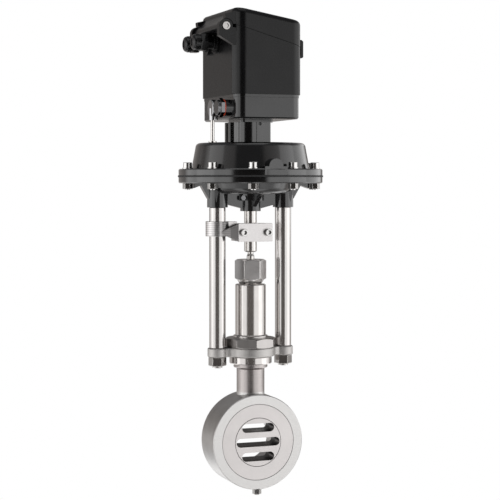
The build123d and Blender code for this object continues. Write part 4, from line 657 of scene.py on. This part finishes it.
def add_piece(name, shape, body, finish, soften=0.00015):
    """A piece of the scene's own, made by shape(), with soft edges; it moves with that body."""
    mesh = bpy.data.meshes.new(name)
    work = bmesh.new()
    shape(work)
    bmesh.ops.recalc_face_normals(work, faces=work.faces)
    work.to_mesh(mesh)
    work.free()
    piece = bpy.data.objects.new(name, mesh)
    bpy.context.scene.collection.objects.link(piece)
    mesh.materials.append(finish)
    edges = piece.modifiers.new("edges", "BEVEL")
    edges.width = soften
    edges.segments = 2
    edges.limit_method = "ANGLE"
    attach(piece, body)
    return piece


def cap_flutes(work):
    """Grip ridges round the two cable gland caps, run out at both ends."""
    low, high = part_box("gland_caps")
    radius = (high.z - low.z) / 2
    first, last = low.x + cap_round, high.x - flute_inset
    ends = ((first, 0.0), (first + flute_height, flute_height),
            (last - flute_height, flute_height), (last, 0.0))
    for centre_y in (low.y + radius, high.y - radius):
        for i in range(flute_count):
            angle = 2 * pi * (i + 0.5) / flute_count
            out = Vector((0.0, cos(angle), sin(angle)))
            across = Vector((0.0, -sin(angle), cos(angle))) * flute_width
            axis = Vector((0.0, centre_y, (low.z + high.z) / 2))
            loops = []
            for x, top in ends:
                foot, crest = axis + out * (radius - flute_sink), axis + out * (radius + top)
                points = (foot - across / 2, foot + across / 2,
                          crest + across * flute_top_share, crest - across * flute_top_share)
                loops.append([work.verts.new((x, point.y, point.z)) for point in points])
            join_loops(work, loops)


def terminal_screws(work):
    """A slotted screw in each way of the terminal block, each turned differently."""
    low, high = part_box("terminal_block")
    step = (high.y - low.y) / terminal_ways
    for i in range(terminal_ways):
        centre = ((low.x + high.x) / 2, low.y + step * (i + 0.5), high.z - terminal_sink)
        turn = terminal_turn + terminal_turn_step * i
        slotted_head(work, centre, terminal_screw_r, terminal_screw_h, turn)


def board_screws(work):
    """Socket head screws that hold the board on its four posts."""
    low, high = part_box("circuit_board")
    r, h, chamfer = post_head_r, post_head_h, post_head_chamfer
    rings = ((r, 0.0), (r, h - chamfer), (r - chamfer, h), (socket_top_r, h),
             (socket_foot_r, h * socket_foot_share))
    for x in (low.x + post_inset, high.x - post_inset):
        for y in (low.y + post_inset, high.y - post_inset):
            stack(work, (x, y, high.z), rings, post_head_steps)


def board_chips(work):
    """Chips, two headers and small parts on the board."""
    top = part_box("circuit_board")[1].z
    for place, size in chips:
        block(work, (*place, top + chip_lift), size, chip_taper)
    for place, size in (tall_header, wide_header):
        block(work, (*place, top), size, header_taper)
    for i in range(9):
        for (x, y), (step_x, step_y), size in part_grids:
            block(work, (x + step_x * (i % 3), y + step_y * (i // 3), top), size)


def board_leads(work):
    """The chips' bent leads and the pins that stand in the headers."""
    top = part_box("circuit_board")[1].z
    for (middle_x, middle_y), size in chips:
        count = int(size[1] / pin_pitch) - 1
        for i in range(count):
            y = middle_y + pin_pitch * (i - (count - 1) / 2)
            for side in (-1, 1):
                x = middle_x + side * size[0] / 2
                for out, rise, shape in lead_blocks:
                    block(work, (x + side * out, y, top + rise), shape)
    (tall_x, tall_y), _ = tall_header
    (wide_x, wide_y), _ = wide_header
    steps = [2 * pin_pitch * (i - (pin_count - 1) / 2) for i in range(pin_count)]
    for step in steps:
        for row in (-pin_pitch, pin_pitch):
            block(work, (tall_x + row, tall_y + step, top), (pin_width, pin_width, tall_pin),
                  pin_taper)
    for step in steps:
        block(work, (wide_x + step, wide_y, top), (pin_width, pin_width, short_pin), pin_taper)


def board_cans(work):
    """Two capacitor cans with a rolled groove, and a crystal."""
    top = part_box("circuit_board")[1].z
    for place in can_places:
        stack(work, (*place, top), can_profile)
    place, size = crystal
    block(work, (*place, top), size, crystal_taper)


def lid_ribs(work):
    """Ribs under the lid's top, square to its slope, and one along its middle."""
    right, seam_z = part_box("positioner_housing")[1].x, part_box("positioner_housing")[1].z
    slope = (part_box("positioner_lid")[1].z - seam_z) / (2 * right)

    def rib(x0, x1, y0, y1):
        corners = [(x, y, seam_z + (right - x) * slope - lid_wall)
                   for x, y in ((x0, y0), (x1, y0), (x1, y1), (x0, y1))]
        prism(work, [(x, y, z - lid_rib_h) for x, y, z in corners],
              [(x, y, z + lid_rib_sink) for x, y, z in corners])

    reach, half = right - lid_wall - lid_rib_gap, lid_rib_w / 2
    for y in lid_rib_ys:
        rib(-reach, reach, y - half, y + half)
    rib(-half, half, -lid_rib_half_length, lid_rib_half_length)


def clip_grip(work):
    """Ridges across the clip's outer face, where a thumb pulls it."""
    low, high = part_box("lid_clip")
    middle = (low.y + high.y) / 2
    for i in range(clip_ridges):
        z = low.z + clip_ridge_first + clip_ridge_step * i
        ring = [(high.x + x, middle + y, z) for x, y in clip_ridge_plan]
        prism(work, ring, [(x, y, z + clip_ridge_h) for x, y, _ in ring])


def boss_ribs(work):
    """A rib before and behind each column boss, wide at the flange and run out to a point."""
    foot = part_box("lower_case")[0].z + boss_drop
    for column, side in (("left_column", -1), ("right_column", 1)):
        low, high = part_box(column)
        for front in (-1, 1):
            out = Vector((side * sin(boss_rib_turn), front * cos(boss_rib_turn), 0.0))
            across = Vector((-out.y, out.x, 0.0))
            rings = []
            for height, half, reach in boss_rib_ends:
                centre = Vector(((low.x + high.x) / 2, 0.0, foot + height))
                near, far = centre + out * (boss_r - boss_rib_sink), centre + out * (boss_r + reach)
                wide, narrow = across * half, across * half * boss_rib_taper
                rings.append([near - wide, near + wide, far + narrow, far - narrow])
            prism(work, *rings)


def spring_coil(work):
    """The return spring's wire, in the place of the solid one."""
    low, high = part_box("return_spring")
    wire_r = coil_wire / 2
    count = int(coil_turns * coil_steps)
    loops = []
    for i in range(count + 1):
        angle = 2 * pi * i / coil_steps
        height = low.z + wire_r + (high.z - low.z - coil_wire) * i / count
        loop = []
        for j in range(wire_steps):
            turn = 2 * pi * j / wire_steps
            radius = high.x - wire_r + wire_r * cos(turn)
            loop.append(work.verts.new((radius * cos(angle), radius * sin(angle),
                                        height + wire_r * sin(turn))))
        loops.append(loop)
    join_loops(work, loops)


def add_spring(materials):
    """A coil of wire in the place of the solid return spring, which is hidden."""
    coil = add_piece("return_coil", spring_coil, "valve", materials["spring_steel"])
    for face in coil.data.polygons:
        face.use_smooth = True
    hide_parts("return_spring")
    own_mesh(coil)


def add_fittings(materials):
    """What the solids leave out: grips, ribs, and everything on the circuit board."""
    glands, housing = materials["gland_plastic"], materials["housing_plastic"]
    steel, paint = materials["fastener_steel"], materials["cast_black"]
    add_piece("cap_flutes", cap_flutes, "valve", glands)
    add_piece("terminal_screws", terminal_screws, "valve", steel)
    add_piece("board_screws", board_screws, "valve", steel)
    add_piece("board_chips", board_chips, "valve", housing, soften=0.0001)
    add_piece("board_leads", board_leads, "valve", steel, soften=0.00004)
    add_piece("board_cans", board_cans, "valve", steel)
    add_piece("lid_ribs", lid_ribs, "lid", housing, soften=0.0003)
    add_piece("boss_ribs", boss_ribs, "valve", paint, soften=0.0004)
    add_piece("clip_grip", clip_grip, "lid", housing)


def room_colour(tone):
    """Dark tones are warm, bright ones neutral."""
    share = min(1.0, tone)
    return tuple(tone * (channel + (1.0 - channel) * share) for channel in warm)


def tone_ramp(tree, angle, tones):
    """The tones round the horizon, by an angle from -pi to pi."""
    ramp = node(tree, "ValToRGB", {"Fac": spread(tree, angle, 0.0, 1.0, start=-pi, end=pi)})
    stops = ramp.color_ramp.elements
    for stop, (degrees, tone) in zip(list(stops), (tones[0], tones[-1])):
        stop.position = 0.5 + degrees / 360.0
        stop.color = (*room_colour(tone), 1.0)
    for degrees, tone in tones[1:-1]:
        stops.new(0.5 + degrees / 360.0).color = (*room_colour(tone), 1.0)
    return ramp.outputs["Color"]


def low_tones(gap):
    """The tones below the horizon, with the gap on the camera's side as given."""
    return [(-180.0, 0.50), (-124.0, 0.60), (-116.0, 0.80), (-74.0, 1.15), (-30.0, 1.22),
            (-25.0, gap), (23.0, gap), (28.0, 1.22), (112.0, 1.25), (124.0, 0.35), (180.0, 0.40)]


def room_angle(tree, direction):
    """The direction's angle in plan, from the photograph's side of the room towards its right."""
    front, right = toward(camera_azimuth, 1.0, 0.0), toward(camera_azimuth + pi / 2, 1.0, 0.0)
    facing = vector_math(tree, "DOT_PRODUCT", direction, front, output="Value")
    across = vector_math(tree, "DOT_PRODUCT", direction, right, output="Value")
    return number_math(tree, "ARCTAN2", across, facing)


def make_world():
    """White behind the valve. Its reflections see a pale room with a dark gap on the side that
    the photograph was taken from."""
    world = bpy.data.worlds.new("studio")
    bpy.context.scene.world = world
    world.use_nodes = True
    tree = world.node_tree
    tree.nodes.clear()
    direction = node(tree, "TexCoord").outputs["Generated"]
    angle = room_angle(tree, direction)
    rise = component(tree, direction, "Z")
    colour = tone_ramp(tree, angle, low_tones(deep_gap_tone))
    for (start, end), tones in ((deep_to_low, low_tones(low_gap_tone)),
                                (low_to_middle, middle_tones), (middle_to_high, high_tones)):
        share = spread(tree, rise, 0.0, 1.0, start, end)
        colour = tint(tree, share, colour, tone_ramp(tree, angle, tones))
    colour = tint(tree, spread(tree, rise, 0.0, 1.0, *high_to_ceiling), colour, ceiling_tone)
    room = node(tree, "Background", {"Color": colour, "Strength": 1.0})
    white = node(tree, "Background", {"Color": background, "Strength": 1.0})
    eye = node(tree, "LightPath").outputs["Is Camera Ray"]
    mixed = node(tree, "MixShader", {0: eye, 1: room.outputs[0], 2: white.outputs[0]})
    out = node(tree, "OutputWorld")
    tree.links.new(mixed.outputs[0], out.inputs["Surface"])


def make_floor():
    """A pale floor well below the valve, white to the eye except where the valve's shadow falls."""
    height = cad_low.z - floor_drop
    mesh = bpy.data.meshes.new("floor")
    corners = [(x * floor_reach, y * floor_reach, height)
               for x, y in ((-1, -1), (1, -1), (1, 1), (-1, 1))]
    mesh.from_pydata(corners, [], [(0, 1, 2, 3)])
    floor = bpy.data.objects.new("floor", mesh)
    bpy.context.scene.collection.objects.link(floor)
    made = bpy.data.materials.new("floor")
    made.use_nodes = True
    tree = made.node_tree
    tree.nodes.clear()
    cloud = noise(tree, object_space(tree), scale=3.0)
    matt = node(tree, "BsdfDiffuse", {"Color": tint(tree, cloud, floor_dark, floor_pale)})
    path = node(tree, "LightPath")
    far = spread(tree, ring_space(tree, about_z), 0.0, 1.0, *floor_fade)
    near_tones = tone_ramp(tree, room_angle(tree, object_space(tree)), floor_tones)
    glow = node(tree, "Emission", {
        "Color": background, "Strength": times(tree, path.outputs["Is Camera Ray"], floor_glow)})
    mirrored = node(tree, "Emission", {
        "Color": tint(tree, far, near_tones, floor_far_tone),
        "Strength": path.outputs["Is Glossy Ray"]})
    lit = node(tree, "AddShader", {0: matt.outputs[0], 1: glow.outputs[0]})
    both = node(tree, "AddShader", {0: lit.outputs[0], 1: mirrored.outputs[0]})
    out = node(tree, "OutputMaterial")
    tree.links.new(both.outputs[0], out.inputs["Surface"])
    floor.data.materials.append(made)


def look_at(thing, height):
    """Turns a camera or a lamp to the valve's axis at this height."""
    aim = Vector((0.0, 0.0, height)) - thing.location
    thing.rotation_mode = "QUATERNION"
    thing.rotation_quaternion = aim.to_track_quat("-Z", "Y")


def make_lights():
    for name, degrees, distance, height, width, length, power in softboxes:
        data = bpy.data.lights.new(name, "AREA")
        data.shape = "RECTANGLE"
        data.size = width
        data.size_y = length
        data.energy = power
        lamp = bpy.data.objects.new(name, data)
        bpy.context.scene.collection.objects.link(lamp)
        lamp.location = toward(camera_azimuth + radians(degrees), distance, height)
        look_at(lamp, lamp_aim_height)


def make_camera():
    data = bpy.data.cameras.new("camera")
    data.lens = camera_lens
    data.sensor_width = camera_sensor
    data.shift_x = camera_shift_x
    data.shift_y = camera_shift_y
    data.clip_start = camera_near
    data.clip_end = camera_far
    camera = bpy.data.objects.new("camera", data)
    bpy.context.scene.collection.objects.link(camera)
    camera.location = toward(camera_azimuth, camera_distance, camera_height)
    look_at(camera, camera_height)
    bpy.context.scene.camera = camera


def main():
    make_camera()
    make_world()
    make_floor()
    make_lights()
    materials = make_materials()
    dress_nodes(materials)
    add_fittings(materials)
    add_spring(materials)
    scene = bpy.context.scene
    scene.view_settings.view_transform = "Standard"


main()
